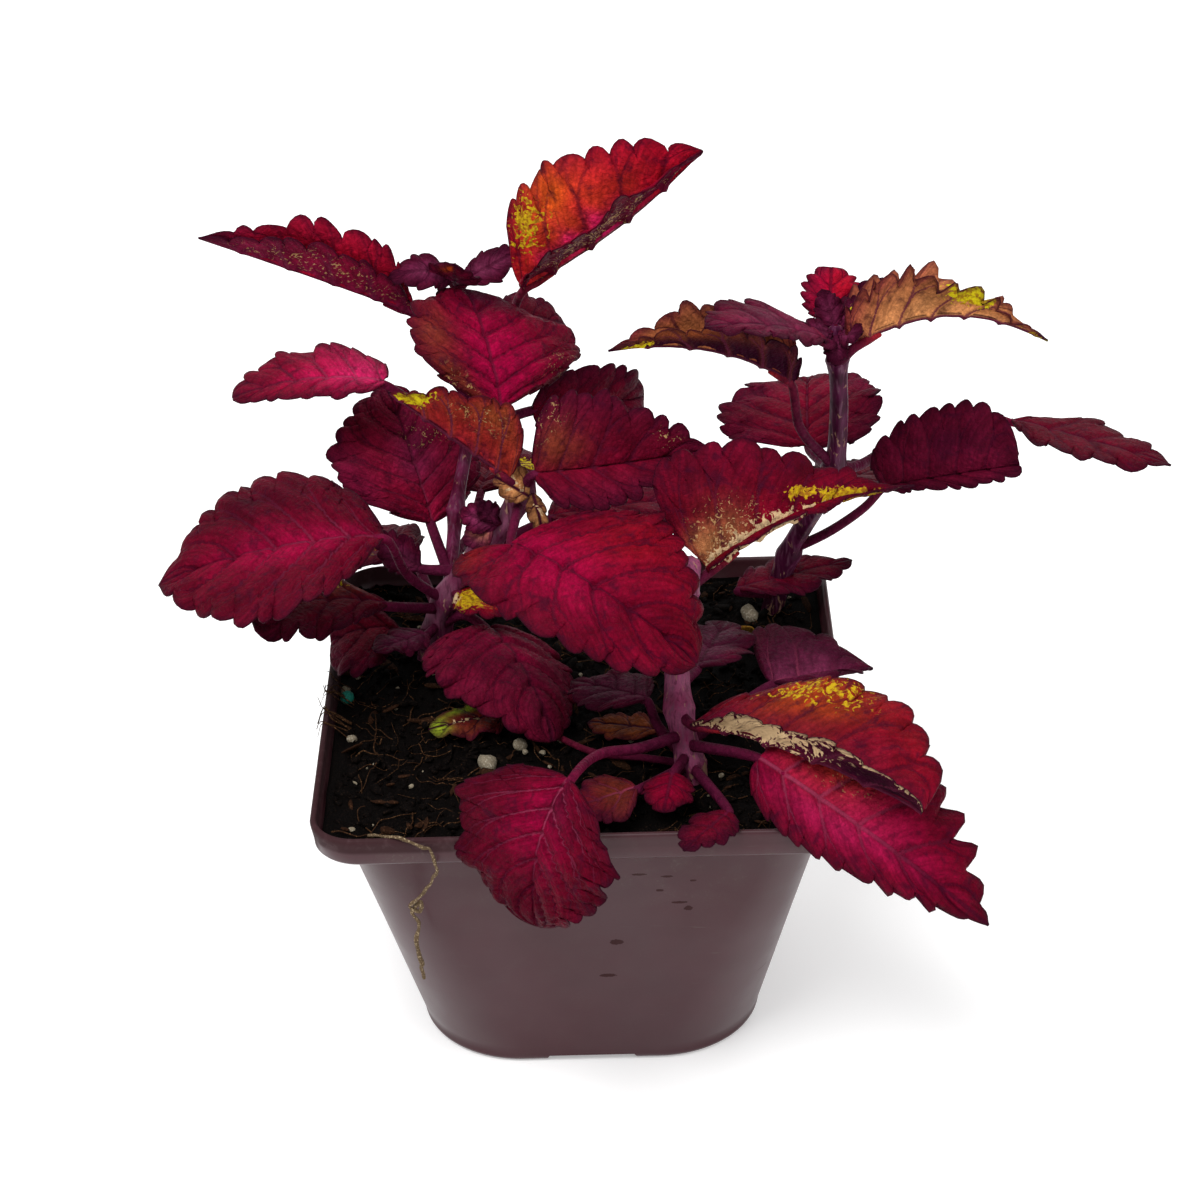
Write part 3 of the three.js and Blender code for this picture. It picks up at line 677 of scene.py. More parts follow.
@dataclass(frozen=True)
class Leaf:
    """One leaf, in millimetres and degrees. Pairs, but for shape, are its left and right halves.

    Attributes:
        tone: Its colours.
        at: Height of its joint on the stem.
        base: Where the blade starts.
        tip: Where it ends.
        face: The way that its upper side looks.
        wide: Width of each half.
        by: Points that the stalk passes.
        fold: How far each half rises at the midrib.
        curl: How far it turns down again by the margin.
        ear: How far its lower corner reaches back past the base.
        arch: How far the midrib bows up.
        shape: Powers of the outline, at the base and at the tip.
        teeth: Lobes of each margin.
        slim: The stalk's thickness, as a share of the usual one.
        patches: Its markings.
        glow: How strongly the heart's colour shows.
        pale: How light the veins are near the base.
        light: How light all its colours are.
        sharp: How pointed its lobes are, from 0 to 1.
        cut: How deep the notches of each half are, as a share of the usual depth.
        name: Its name in the frame.
        stem: The stem that it grew from.
    """

    tone: Tone
    at: float
    base: Point
    tip: Point
    face: Point = (0, 0, 1)
    wide: Pair = (8, 8)
    by: tuple[Point, ...] = ()
    fold: Pair = (8, 8)
    curl: Pair = (12, 12)
    ear: Pair = (0, 0)
    arch: float = 0
    shape: Pair = (0.6, 0.9)
    teeth: int = 6
    slim: float = 1
    patches: tuple[Patch, ...] = ()
    glow: float = 0.8
    pale: float = 0.1
    light: float = 1
    sharp: float = 0
    cut: Pair = (1, 1)
    name: str = ""
    stem: str = ""


@dataclass(frozen=True)
class BladeSizes:
    """What all blades share, in millimetres or as shares of their own size."""

    thickness: float = 0.5
    veins_per_tooth: float = 0.64
    bite: float = 0.52
    lean: float = 0.3
    ripple: float = 0.6
    ruffle: float = 0.75
    quilt: float = 0.85
    pucker: float = 0.12
    groove: float = 0.4
    rib: float = 0.45
    row_power: float = 1.12
    fork_from: float = 0.4
    sweep: float = 0.72
    rows_per_lobe: int = 8
    columns: tuple[float, ...] = (
        0.03, 0.08, 0.15, 0.24, 0.33, 0.42, 0.51, 0.6, 0.69, 0.77, 0.85, 0.91, 0.955, 0.985, 1
    )


@dataclass(frozen=True)
class StalkSizes:
    """A stalk's radii, and where its neck and its end under the blade lie."""

    root: float = 1.15
    neck: float = 0.85
    end: float = 0.45
    neck_at: float = 0.7
    runs_to: float = 0.14
    depth: float = 0.5
    sides: int = 12


class Blade:
    """The surface of one leaf's blade, and its colours.

    Its methods take places on the blade as u from base to tip, count, which is how many lobes
    lie before it, and v from the left margin (-1) over the midrib to the right one (1).
    """

    def __init__(self, leaf: Leaf, sizes: BladeSizes) -> None:
        """Works out the blade's own axes, its veins and its lobes.

        Args:
            leaf: The leaf.
            sizes: What it shares with the other blades.
        """
        self.leaf = leaf
        self.sizes = sizes
        self.base = np.array(leaf.base, float)
        self.chord = np.array(leaf.tip, float) - self.base
        self.length = float(np.linalg.norm(self.chord))
        along = unit(self.chord)
        face = np.array(leaf.face, float)
        self.face = unit(face - along * (face @ along))
        self.size = min(1.25, sum(leaf.wide) / 30)
        random = np.random.default_rng([ord(letter) for letter in leaf.name])
        self.veins = max(2, round(sizes.veins_per_tooth * leaf.teeth))
        self.lobe_count = 2 * self.veins
        stray = random.uniform(-0.3, 0.3, (2, self.lobe_count + 1))
        stray[:, (0, -1)] = 0
        spots = (np.arange(self.lobe_count + 1) + stray) / self.lobe_count
        self.notches = spots**sizes.row_power
        self.depths = random.uniform(0.5, 1.5, (2, self.lobe_count + 1))
        self.phases = random.uniform(0, 2 * math.pi, (2, 3))
        self.swirl = random.normal(size=(5, 2)) * 0.3
        self.turns = random.uniform(0, 2 * math.pi, 5)
        self.lead = sizes.sweep * sum(leaf.wide) / 2 / (self.length / self.veins)

    def midrib(self, u: Array) -> Array:
        """Places on the midrib."""
        share = np.asarray(u, float)[..., None]
        return self.base + self.chord * share + self.face * self.leaf.arch * 4 * share * (1 - share)

    def axes(self, u: Array) -> tuple[Array, Array, Array]:
        """The blade's own directions.

        Args:
            u: Places along it.

        Returns:
            The directions along it, out of its upper face, and to its right.
        """
        bend = 4 * (1 - 2 * np.asarray(u, float)[..., None])
        along = unit(self.chord + self.face * self.leaf.arch * bend)
        face = unit(self.face - along * (along @ self.face)[..., None])
        return along, face, np.cross(along, face)

    def outline(self, u: Array) -> Array:
        """The half width at each place, as a share of the widest."""
        (a, b), peak = self.leaf.shape, self.leaf.shape[0] / sum(self.leaf.shape)
        return u**a * (1 - u) ** b / (peak**a * (1 - peak) ** b)

    def grid(self) -> tuple[Array, Array, Array]:
        """Places of the mesh's points.

        Returns:
            u for each row and column, the count of lobes for each row, and v for each column.
            Rows meet each margin's own notches, and columns are closest at the margins.
        """
        per_lobe = np.arange(self.sizes.rows_per_lobe) / self.sizes.rows_per_lobe
        bunched = (1 - np.cos(math.pi * per_lobe)) / 2
        count = (np.arange(self.lobe_count)[:, None] + bunched[None]).ravel()
        count = np.append(count, self.lobe_count)[:, None]
        right = np.array(self.sizes.columns)
        v = np.concatenate([-right[::-1], [0], right])[None]
        lobes = np.arange(self.lobe_count + 1)
        left_u, right_u = (np.interp(count, lobes, notch) for notch in self.notches)
        middle_u = (count / self.lobe_count) ** self.sizes.row_power
        u = middle_u + (np.where(v < 0, left_u, right_u) - middle_u) * v**2
        return 0.003 + 0.994 * u, count, v

    def lobe(self, u: Array, count: Array, v: Array) -> tuple[Array, Array]:
        """The margin's lobes, in millimetres.

        Args:
            u, count, v: Places on the blade.

        Returns:
            How far each place moves out past the mean margin, and towards the tip.
        """
        left = v < 0
        place = count % 1
        index = np.minimum(count.astype(int), self.lobe_count)
        depth = np.where(left, self.depths[0][index], self.depths[1][index])
        room = np.clip(2.4 * self.outline(u), 0, 1) * self.length / self.lobe_count * depth
        sharp = self.leaf.sharp
        top = np.sin(math.pi * place ** (1.2 + 1.3 * sharp)) ** (0.45 + 0.5 * sharp)
        near = smoothstep(0.5, 1, np.abs(v)) ** 1.4
        bite = self.sizes.bite * (1 + 0.7 * sharp) * np.where(left, *self.leaf.cut)
        return bite * room * (top - 0.62) * near, self.sizes.lean * room * top * near

    def phase(self, count: Array, v: Array) -> Array:
        """Counts the side veins: it is a whole number on each, swept from midrib to margin."""
        return count / 2 + self.lead * (1 - np.abs(v) ** 1.15)

    def from_vein(self, count: Array, v: Array) -> Array:
        """Distance from the nearest side vein or its fork.

        Args:
            count, v: Places on the blade.

        Returns:
            The distances, as shares of the veins' spacing.
        """
        phase = self.phase(count, v)
        fork = 0.25 * smoothstep(self.sizes.fork_from, 1, np.abs(v))
        return np.abs(np.abs(phase - np.round(phase)) - fork)

    def half_width(self, u: Array, v: Array) -> Array:
        """The width of the half that each place lies in."""
        return np.where(v < 0, self.leaf.wide[0], self.leaf.wide[1]) * self.outline(u)

    def cloud(self, u: Array, v: Array) -> Array:
        """Slow, uneven waves over the blade.

        Args:
            u, v: Places on the blade.

        Returns:
            The waves' height, from about -1 to 1.
        """
        x, y = u * self.length, v * self.half_width(u, v)
        waves = [np.sin(a * x + b * y + turn) for (a, b), turn in zip(self.swirl, self.turns)]
        return np.sum(waves, axis=0) / 2.4

    def middle_sheet(self, u: Array, count: Array, v: Array) -> Array:
        """The blade's middle surface, folded, curled and ruffled.

        Args:
            u, count, v: Places on the blade.

        Returns:
            The places in millimetres.
        """
        leaf = self.leaf
        out = np.abs(v)
        left = v < 0
        along, face, side = self.axes(u)
        start = np.radians(np.where(left, *leaf.fold))
        turn = np.radians(np.where(left, *leaf.curl)) + 1e-6
        reach, lean = self.lobe(u, count, v)
        width = self.half_width(u, v) + reach
        across = (np.sin(start) - np.sin(start - turn * out)) / turn
        rise = (np.cos(start - turn * out) - np.cos(start)) / turn
        fade = np.sqrt(np.sin(math.pi * u))
        ripple = self.sizes.ripple * np.sin(19 * u + np.where(left, 0, 2.2)) * fade**2 * out**2
        first, second, third = (np.where(left, *pair) for pair in self.phases.T)
        waves = np.sin(count * 1.7 + first) + 0.8 * np.sin(count * 3.1 + second)
        waves = waves + 0.5 * np.sin(count * 0.7 + third)
        ruffle = self.sizes.ruffle * self.size * waves * fade * out**3
        lift = width * rise + ripple + ruffle - 0.5 * self.size * fade * out**9
        back = np.where(left, *leaf.ear) * self.outline(u) * (1 - u) ** 3 * out**2 - lean
        push = np.where(left, -1, 1) * width * across
        flat = self.midrib(u) + side * push[..., None]
        return flat + face * lift[..., None] - along * back[..., None]

    def relief(self, u: Array, count: Array, v: Array) -> Array:
        """Quilting between the veins, puckers inside it, and the midrib's groove.

        Args:
            u, count, v: Places on the blade.

        Returns:
            How far the blade rises there, in millimetres.
        """
        sizes = self.sizes
        out = np.abs(v)
        away = out * self.half_width(u, v)
        apart = min(1, max(0.2, (180 - sum(self.leaf.fold)) / 60))
        room = smoothstep(0, 0.5, self.outline(u)) * self.size * apart
        domes = 1 - np.exp(-((self.from_vein(count, v) / 0.1) ** 2))
        quilt = sizes.quilt * domes * (1 - 0.75 * out**3)
        cross = np.sin(away * 1.9 + 2.5 * self.cloud(u, v))
        cross = cross * np.sin(self.phase(count, v) * 9 + away * 0.8)
        groove = sizes.groove * np.exp(-((away / 0.8) ** 2))
        return room * (quilt + sizes.pucker * cross * (1 - out**4) - groove)

    def tint(self, u: Array, count: Array, v: Array, under: int) -> Array:
        """The pigments mixed at each place on one face.

        Args:
            u, count, v: Places on the blade.
            under: 0 for the upper face and 1 for the lower one.

        Returns:
            The colour at each place, as linear red, green and blue.
        """
        tone = self.leaf.tone.value
        out = np.abs(v)
        cloud = self.cloud(u, v)
        body = np.array((tone.back if under else tone.body).value)
        rays = smoothstep(0.0, 0.22, self.from_vein(count, v))
        glow = np.exp(-(((out + 0.1 * cloud) / 0.4) ** 2)) * smoothstep(1.05, 0.3, u)
        glow = glow * (0.4 + 0.6 * rays)
        near = smoothstep(0.45, 1, out + 0.12 * cloud)
        near = np.maximum(near, smoothstep(0.7, 1, u + 0.05 * cloud))
        color = np.broadcast_to(body, (*u.shape, 3)).copy()
        heart = glow * self.leaf.glow * (0.25 if under else 1)
        layers = [(tone.heart, heart), (tone.margin, 0.85 * near)]
        for patch in self.leaf.patches:
            if isinstance(patch.kind, Pigment):
                cover = patch.cover(u + 0.05 * cloud, v + 0.08 * cloud, under)
                layers.append((patch.kind, np.minimum(cover * (0.8 + 0.3 * rays), 1)))
        for pigment, share in layers:
            color += (np.array(pigment.value) - color) * share[..., None]
        return color * self.leaf.light * (1 + 0.2 * cloud)[..., None]

    def carried(self, u: Array, count: Array, v: Array, under: int) -> Values:
        """What the points of one face carry for the shader.

        Args:
            u, count, v: Places on the blade.
            under: 0 for the upper face and 1 for the lower one.

        Returns:
            The values by name, with one row for each point.
        """
        marks = np.zeros((*u.shape, 3))
        for patch in self.leaf.patches:
            if isinstance(patch.kind, Mark):
                cover = patch.cover(u, v, under)
                marks[..., patch.kind.value] = np.maximum(marks[..., patch.kind.value], cover)
        blade = np.broadcast_arrays(v, self.half_width(u, v), self.phase(count, v))
        pale = 0.2 if under else self.leaf.pale * smoothstep(0.85, 0.1, u) * (1 - 0.8 * np.abs(v))
        color = self.tint(u, count, v, under)
        return {
            "tint": np.concatenate([color, np.ones((*u.shape, 1))], -1).reshape(-1, 4),
            "blade": np.stack(blade, -1).reshape(-1, 3),
            "marks": marks.reshape(-1, 3),
            "pale": np.broadcast_to(pale, u.shape).reshape(-1, 1),
        }

    def skin(self) -> Skin:
        """Builds the blade.

        Returns:
            Its two faces and its margin as one closed surface.
        """
        sizes = self.sizes
        u, count, v = self.grid()
        out = np.abs(v)
        sheet = self.middle_sheet(u, count, v)
        normal = unit(np.cross(np.gradient(sheet, axis=1), np.gradient(sheet, axis=0)))
        relief = self.relief(u, count, v)
        half = sizes.thickness / 2 * (1 - 0.5 * out**6)
        rib = sizes.rib * (1 - u) ** 0.7 * np.exp(-((out * self.half_width(u, v) / 0.55) ** 2))
        rib = rib + 0.15 * np.exp(-((self.from_vein(count, v) / 0.05) ** 2)) * (1 - out)
        upper = sheet + normal * (relief + half)[..., None]
        lower = sheet + normal * (relief - half - rib)[..., None]
        rows, columns = u.shape
        total = rows * columns
        faces = grid_faces(rows, columns).tolist()
        faces += grid_faces(rows, columns, total)[:, ::-1].tolist()
        number = np.arange(total).reshape(rows, columns)
        sides = (number[0, :-1], number[:-1, -1], number[-1, :0:-1], number[:0:-1, 0])
        ring = np.concatenate(sides)
        for start, end in zip(ring, np.roll(ring, -1)):
            faces.append([int(end), int(start), int(start + total), int(end + total)])
        top, under = (self.carried(u, count, v, side) for side in (0, 1))
        values = {name: np.vstack([top[name], under[name]]) for name in top}
        return Skin(np.vstack([upper.reshape(-1, 3), lower.reshape(-1, 3)]), faces, values)


def plain_values(colors: Array) -> Values:
    """What stalks and stems carry for the blade pattern: a colour, and no veins or rim.

    Args:
        colors: A colour in each row.

    Returns:
        The values by name, with as many rows.
    """
    count = len(colors)
    return {
        "tint": np.hstack([colors, np.ones((count, 1))]),
        "blade": np.tile((0.5, 20.0, 0.5), (count, 1)),
        "marks": np.zeros((count, 3)),
        "pale": np.zeros((count, 1)),
    }


G, C, F = Mark.GOLD, Mark.CREAM, Mark.FLECK
P = Pigment
LOWER, BOTH = Face.LOWER, Face.BOTH
LEFT_LEAVES = (
    Leaf(Tone.MAROON, 117, (-32, 36, 136.5), (-72.5, 22, 160.5), face=(0, -0.4, 0.8),
        wide=(10, 13.5), by=((-28, 34, 127),), fold=(90, 77), curl=(4, 6), shape=(0.8, 1.1),
        teeth=8, glow=0.5, patches=(Patch(P.SCARLET, 0.4, 0.5, 0.5, 0.7, 0.7),
        Patch(P.DUSK, 1, 0, 0.12, 1.5, 1, BOTH), Patch(F, 0.45, -0.5, 0.4, 0.35, 0.6, LOWER),
        Patch(P.GARNET, 0.4, -0.6, 0.6, 0.7, 0.8, LOWER)), light=1.9, cut=(0.8, 0.85)),
    Leaf(Tone.EMBER, 118, (-10, 36.5, 141), (26.5, 28, 173.5), face=(-0.6, -0.4, 0.6),
        wide=(19, 11), by=((-14, 42, 129),), fold=(59, 70), curl=(8, 8), arch=-2.8,
        shape=(0.45, 0.85), teeth=8, patches=(Patch(P.EMBER, 0.45, -0.5, 0.3, 0.4),
        Patch(P.ORANGE, 0.3, -0.7, 0.15, 0.3), Patch(P.ROSE, 0.42, -0.1, 0.22, 0.16),
        Patch(G, 0.17, -0.66, 0.12, 0.3, 0.6), Patch(P.SCARLET, 0.9, -0.4, 0.2, 1),
        Patch(P.MAROON, 0.5, 0.5, 1, 0.6, 1, LOWER), Patch(F, 0.4, 0.45, 0.4, 0.4, 1, LOWER)),
        light=1.45, cut=(0.9, 0.6)),
    Leaf(Tone.MAROON, 130, (-15, 45.5, 131), (-2, 55, 123.5), face=(0, -0.6, 0.9), wide=(6, 8),
        ear=(2, 0), arch=1, shape=(0.6, 0.8), glow=0.4),
    Leaf(Tone.CRIMSON, 110, (-38.5, 28, 125), (-69, 24, 124), wide=(6, 10.5), by=((-31, 29, 118),),
        fold=(-1, 18), curl=(10, 10), ear=(0, 5), arch=2.3, shape=(0.4, 0.6), teeth=8, glow=1,
        pale=0.8, patches=(Patch(P.ROSE, 0.12, 0.1, 0.3, 0.8),
        Patch(P.GARNET, 0.95, 0.3, 0.3, 0.9)), light=1.3, cut=(0.5, 0.8)),
    Leaf(Tone.MAROON, 111, (-9, 38, 112.5), (14, 54.5, 107), face=(0, -0.6, 0.2), wide=(9, 11),
        fold=(23, 15), curl=(9, 10), ear=(4, 0), arch=3, shape=(0.5, 0.7), teeth=7, patches=(
        Patch(F, 0.2, 0.8, 0.25, 0.3),)),
    Leaf(Tone.MAROON, 87, (-21, 43, 91), (-17, 74, 86), face=(0, 0.2, 1), wide=(13, 13),
        by=((-23, 33, 87),), teeth=7, patches=(Patch(G, 0.5, 0.6, 0.12, 0.3, 0.8),)),
)
MIDDLE_LEAVES = (
    Leaf(Tone.BRONZE, 112, (-13, 1.5, 116.5), (-36, 4.5, 134.5), face=(0.5, 0, 0.8), wide=(14.5, 8),
        fold=(80, 60), curl=(10, 10), shape=(0.55, 1.15), teeth=8, patches=(
        Patch(P.SCARLET, 0.45, -0.4, 0.7, 0.9, 0.75, BOTH),
        Patch(P.OLIVE, 0.35, -0.7, 0.2, 0.25, 0.7, BOTH),
        Patch(P.MAROON, 0.4, -0.05, 0.6, 0.12, 0.7, BOTH),
        Patch(F, 0.45, -0.6, 0.3, 0.3, 0.35, BOTH), Patch(G, 0.86, -0.55, 0.1, 0.4, 1.5, BOTH)),
        light=1.25),
    Leaf(Tone.MAROON, 112, (-8, 0.5, 118), (27.5, 8, 118.5), face=(0, -0.4, 0.9), wide=(15.5, 9),
        fold=(54, -5), curl=(8, 10), ear=(3.5, 0), arch=-0.8, shape=(0.45, 1.2), teeth=8, glow=0.45,
        patches=(Patch(P.OLIVE, 0.13, -0.4, 0.12, 0.28, 0.45), Patch(F, 0.75, -0.5, 0.1, 0.3, 0.45),
        Patch(F, 0.1, -0.8, 0.12, 0.3, 0.35)), light=1.16, cut=(1.2, 1)),
    Leaf(Tone.CRIMSON, 109, (-13, -10, 108), (22.5, -35, 95), face=(-0.4, -0.4, 0.85),
        wide=(22, 17), by=((-12, -1, 109),), fold=(-8, 38), curl=(24, 19), ear=(0, 26), arch=7.5,
        shape=(0.6, 0.77), teeth=9, glow=1, patches=(Patch(P.MAGENTA, 0.4, 0.25, 0.3, 0.4, 0.6),
        Patch(P.SCARLET, 0.55, -0.55, 0.3, 0.4), Patch(P.CRIMSON, 0.75, 0.2, 0.2, 0.8),
        Patch(P.EMBER, 0.08, 0.85, 0.1, 0.2, 0.5)), sharp=0.25, light=0.88, cut=(0.9, 0.8)),
    Leaf(Tone.CRIMSON, 111, (-14.5, 10.5, 127.5), (-22, 36, 141.5), face=(0.1, -0.3, 0.9),
        wide=(15, 23), fold=(20, -13), curl=(14, 20), arch=3.4, shape=(0.75, 0.75), teeth=8, glow=1,
        patches=(Patch(P.MAGENTA, 0.2, 0.2, 0.2, 0.4, 0.7), Patch(P.DUSK, 0.9, 0.25, 0.2, 0.6, 0.8),
        Patch(P.OLIVE, 0.5, -0.7, 0.2, 0.2, 0.4), Patch(F, 0.3, 0.85, 0.16, 0.3, 0.35),
        Patch(F, 0.15, -0.8, 0.15, 0.3, 0.35), Patch(P.OLIVE, 0.15, -0.85, 0.15, 0.2, 0.6))),
    Leaf(Tone.MAROON, 83, (-30.5, 25.5, 93.5), (-40, 45, 116), face=(0.4, -0.7, 0.4),
        wide=(17.5, 15), fold=(13, 10), curl=(20, 20), ear=(0, 5), arch=1, shape=(0.85, 1), teeth=9,
        glow=0.5, pale=0.3, patches=(Patch(P.PLUM, 0.5, 0.1, 0.3, 0.3, 0.7),
        Patch(F, 0.6, 0.3, 0.15, 0.4, 0.4)), light=1.9, cut=(1.3, 1.3)),
    Leaf(Tone.CRIMSON, 79, (-38.5, 4, 102.5), (-84, 0, 95), face=(0, -0.5, 0.8), wide=(21.5, 21.5),
        by=((-35, 12, 89),), fold=(31, -8), curl=(9, 17), ear=(0, 17), arch=4, shape=(1.05, 1.1),
        teeth=9, glow=0.6, pale=0.5, patches=(Patch(P.GARNET, 0.4, 0.6, 0.5, 0.4, 0.8),
        Patch(P.GARNET, 0.6, -0.6, 0.4, 0.3, 0.5), Patch(P.MAGENTA, 0.4, -0.12, 0.3, 0.22, 0.7),
        Patch(P.DUSK, 0.55, 0.62, 0.16, 0.2, 0.5), Patch(P.ROSE, 0.15, 0.05, 0.25, 0.14, 0.2)),
        light=0.85, cut=(1.5, 1.4)),
    Leaf(Tone.MAROON, 77, (-39, 9, 84), (-66, -2, 89), face=(0, -0.1, 1), wide=(10, 12),
        fold=(1, 8), curl=(13, 12), arch=1.8, shape=(0.9, 0.45), teeth=7, patches=(
        Patch(P.OLIVE, 0.4, 0.6, 0.16, 0.4), Patch(G, 0.4, 0.62, 0.12, 0.25, 0.8))),
    Leaf(Tone.PLUM, 73, (-32, 12, 75), (-42, 2, 77), wide=(5, 5), teeth=4),
    Leaf(Tone.MAROON, 70, (-37.5, 15, 74), (-52, 14.5, 71.5), face=(0, -0.3, 0.9), wide=(12.5, 8),
        fold=(14, 8), ear=(2, 0), arch=2.3, shape=(0.8, 0.6), teeth=5),
    Leaf(Tone.CRIMSON, 72, (-19, 8.5, 78), (-6, -18.5, 67.5), face=(0.35, -0.15, 0.9),
        wide=(14.5, 19), by=((-24, 14, 78),), fold=(-4, 4), curl=(22, 20), ear=(2.5, 0), arch=2.8,
        shape=(0.3, 0.75), teeth=8, glow=0.35, patches=(Patch(P.PLUM, 0.5, 0, 0.8, 1.2, 0.55),
        Patch(P.MAGENTA, 0.3, -0.1, 0.15, 0.3, 0.4)), light=1.05),
    Leaf(Tone.EMBER, 82, (-25, 13, 84), (-14, 4, 84), wide=(6, 6), teeth=4, patches=(
        Patch(G, 0.3, 0.2, 0.3, 0.7, 1.2), Patch(C, 0.1, 0.7, 0.1, 0.3))),
    Leaf(Tone.PLUM, 88, (-33, 18, 87), (-42, 22, 93), face=(0, -1, 0.3), wide=(4, 4), teeth=4),
    Leaf(Tone.MAROON, 94, (-6, 22, 96), (22, 36, 92), wide=(10, 11)),
    Leaf(Tone.MAROON, 75, (-36, 36, 80), (-58, 58, 73), wide=(11, 11), patches=(
        Patch(G, 0.4, -0.5, 0.15, 0.3, 0.8),)),
)
FRONT_LEAVES = (
    Leaf(Tone.EMBER, 77, (21.5, -29.5, 78), (63.5, -60.5, 77), face=(-0.3, -0.4, 0.8),
        wide=(20.5, 8.5), fold=(-7, 104), curl=(14, 7), ear=(8, 0), arch=5.5, shape=(0.85, 0.6),
        teeth=8, patches=(Patch(P.ORANGE, 0.42, -0.7, 0.25, 0.35),
        Patch(G, 0.42, -0.8, 0.2, 0.22, 0.58), Patch(P.SCARLET, 0.72, -0.5, 0.25, 0.6),
        Patch(P.CRIMSON, 0.1, -0.4, 0.12, 0.6), Patch(P.PLUM, 0.5, 0.5, 1, 0.8, 1, BOTH),
        Patch(C, 0.3, 0.5, 0.3, 0.5, 1.1, LOWER), Patch(C, 0.6, 0.95, 0.5, 0.15, 0.8, LOWER),
        Patch(P.DUSK, 0.8, 0.3, 0.2, 0.6, 1, LOWER)), light=0.94, cut=(0.9, 0.6)),
    Leaf(Tone.CRIMSON, 71, (34, -42, 78), (76.5, -62, 52), face=(0, -0.7, 0.6), wide=(21.5, 9.5),
        fold=(-3, 6), curl=(15, 15), arch=5.6, shape=(0.35, 1), teeth=10, glow=1, pale=0.7,
        patches=(Patch(P.ROSE, 0.3, 0.1, 0.3, 0.45, 0.8), Patch(P.EMBER, 0.2, -0.25, 0.2, 0.3, 0.7),
        Patch(P.ORANGE, 0.3, -0.32, 0.09, 0.12, 0.5), Patch(F, 0.25, -0.3, 0.2, 0.25, 0.3)),
        light=0.92, sharp=0.6, cut=(1.1, 0.3)),
    Leaf(Tone.CRIMSON, 73, (-2, -57, 84.5), (-8.5, -63, 55), face=(-0.4, -0.1, 0.45), wide=(18, 19),
        by=((11, -33, 75), (4, -39, 78)), fold=(-12, 44), curl=(21, 8), arch=3, shape=(0.6, 0.8),
        teeth=9, glow=1, pale=1, patches=(Patch(P.MAGENTA, 0.42, 0.1, 0.26, 0.42, 1),
        Patch(P.PLUM, 0.12, -0.2, 0.14, 0.3, 0.6), Patch(P.GARNET, 0.8, 0.2, 0.3, 1, 0.85),
        Patch(P.GARNET, 0.4, 0.8, 0.5, 0.35, 0.85)), light=0.7, cut=(0.9, 0.9)),
    Leaf(Tone.PLUM, 68, (13, -20, 78), (-2, -8, 75), by=((15, -22, 73),)),
    Leaf(Tone.MAROON, 67, (10.5, -38, 69), (-2.5, -42, 67), wide=(8, 7.5), teeth=5, pale=0.8,
        patches=(Patch(P.OLIVE, 0.3, 0, 0.3, 0.8, 0.5),)),
    Leaf(Tone.CRIMSON, 69, (17.5, -36, 71), (15.5, -45, 68), wide=(5, 5), teeth=4, glow=0.2),
    Leaf(Tone.MAROON, 67, (28, -47.5, 69.5), (19, -60.5, 70), wide=(5.2, 4.8), teeth=5, sharp=0.3,
        light=0.8, cut=(0.6, 0.6)),
    Leaf(Tone.BRONZE, 66, (15, -16, 68), (1, -11, 67), wide=(5, 5), teeth=4, slim=0.7, patches=(
        Patch(P.OLIVE, 0.5, 0, 0.6, 1.2),)),
    Leaf(Tone.EMBER, 99, (25.5, -11, 101.5), (67.5, 9, 108.5), face=(0.1, -0.2, 0.9), wide=(23, 6),
        fold=(52, 60), curl=(7, 10), ear=(4, 0), arch=4.5, shape=(0.3, 1.9), teeth=9, glow=0.3,
        patches=(Patch(P.CRIMSON, 0.5, -0.4, 1, 1, 0.8), Patch(P.GARNET, 0.3, -0.9, 0.4, 0.3),
        Patch(P.TAN, 0.1, -0.12, 0.12, 0.28, 0.75), Patch(F, 0.14, -0.15, 0.16, 0.3, 0.9),
        Patch(C, 0.28, 0, 0.32, 0.13, 1.4, BOTH), Patch(G, 0.66, -0.2, 0.14, 0.2, 1.1),
        Patch(G, 0.48, -0.35, 0.07, 0.1, 1.1), Patch(C, 0.84, -0.02, 0.12, 0.1, 1.1, BOTH),
        Patch(P.CRIMSON, 0.5, 0.4, 1, 0.6, 1, LOWER), Patch(C, 0.25, 0.6, 0.35, 0.7, 0.95, LOWER),
        Patch(G, 0.75, 0.4, 0.15, 0.4, 1.1, LOWER), Patch(P.PLUM, 1, 0, 0.1, 1.5, 1, BOTH),
        Patch(P.OLIVE, 0.15, 0.3, 0.15, 0.6, 1, LOWER)), light=0.87, cut=(0.9, 0.8)),
    Leaf(Tone.PLUM, 71, (38, -9, 74), (59, -1, 72), face=(0, 0.1, 1), wide=(19, 3.5), fold=(17, 20),
        curl=(10, 10), ear=(6, 0), shape=(0.7, 1.1), teeth=5, pale=0.8),
    Leaf(Tone.BRONZE, 67, (-14.5, -6, 66.8), (-31, -12, 66.8), wide=(6, 6), by=((12, -25, 67.5),
        (2, -20.5, 66.2)), teeth=5, slim=0.7, patches=(Patch(P.GARNET, 0.5, 0, 1, 1, 0.6),
        Patch(P.LIME, 0.92, -0.1, 0.13, 0.9, 2.5), Patch(P.LIME, 0.45, 0.6, 0.22, 0.2, 1.5),
        Patch(C, 0.6, 0, 0.25, 0.15, 0.7))),
    Leaf(Tone.PLUM, 82, (23, -12, 80), (30, 12, 76), wide=(7, 8), teeth=5),
)
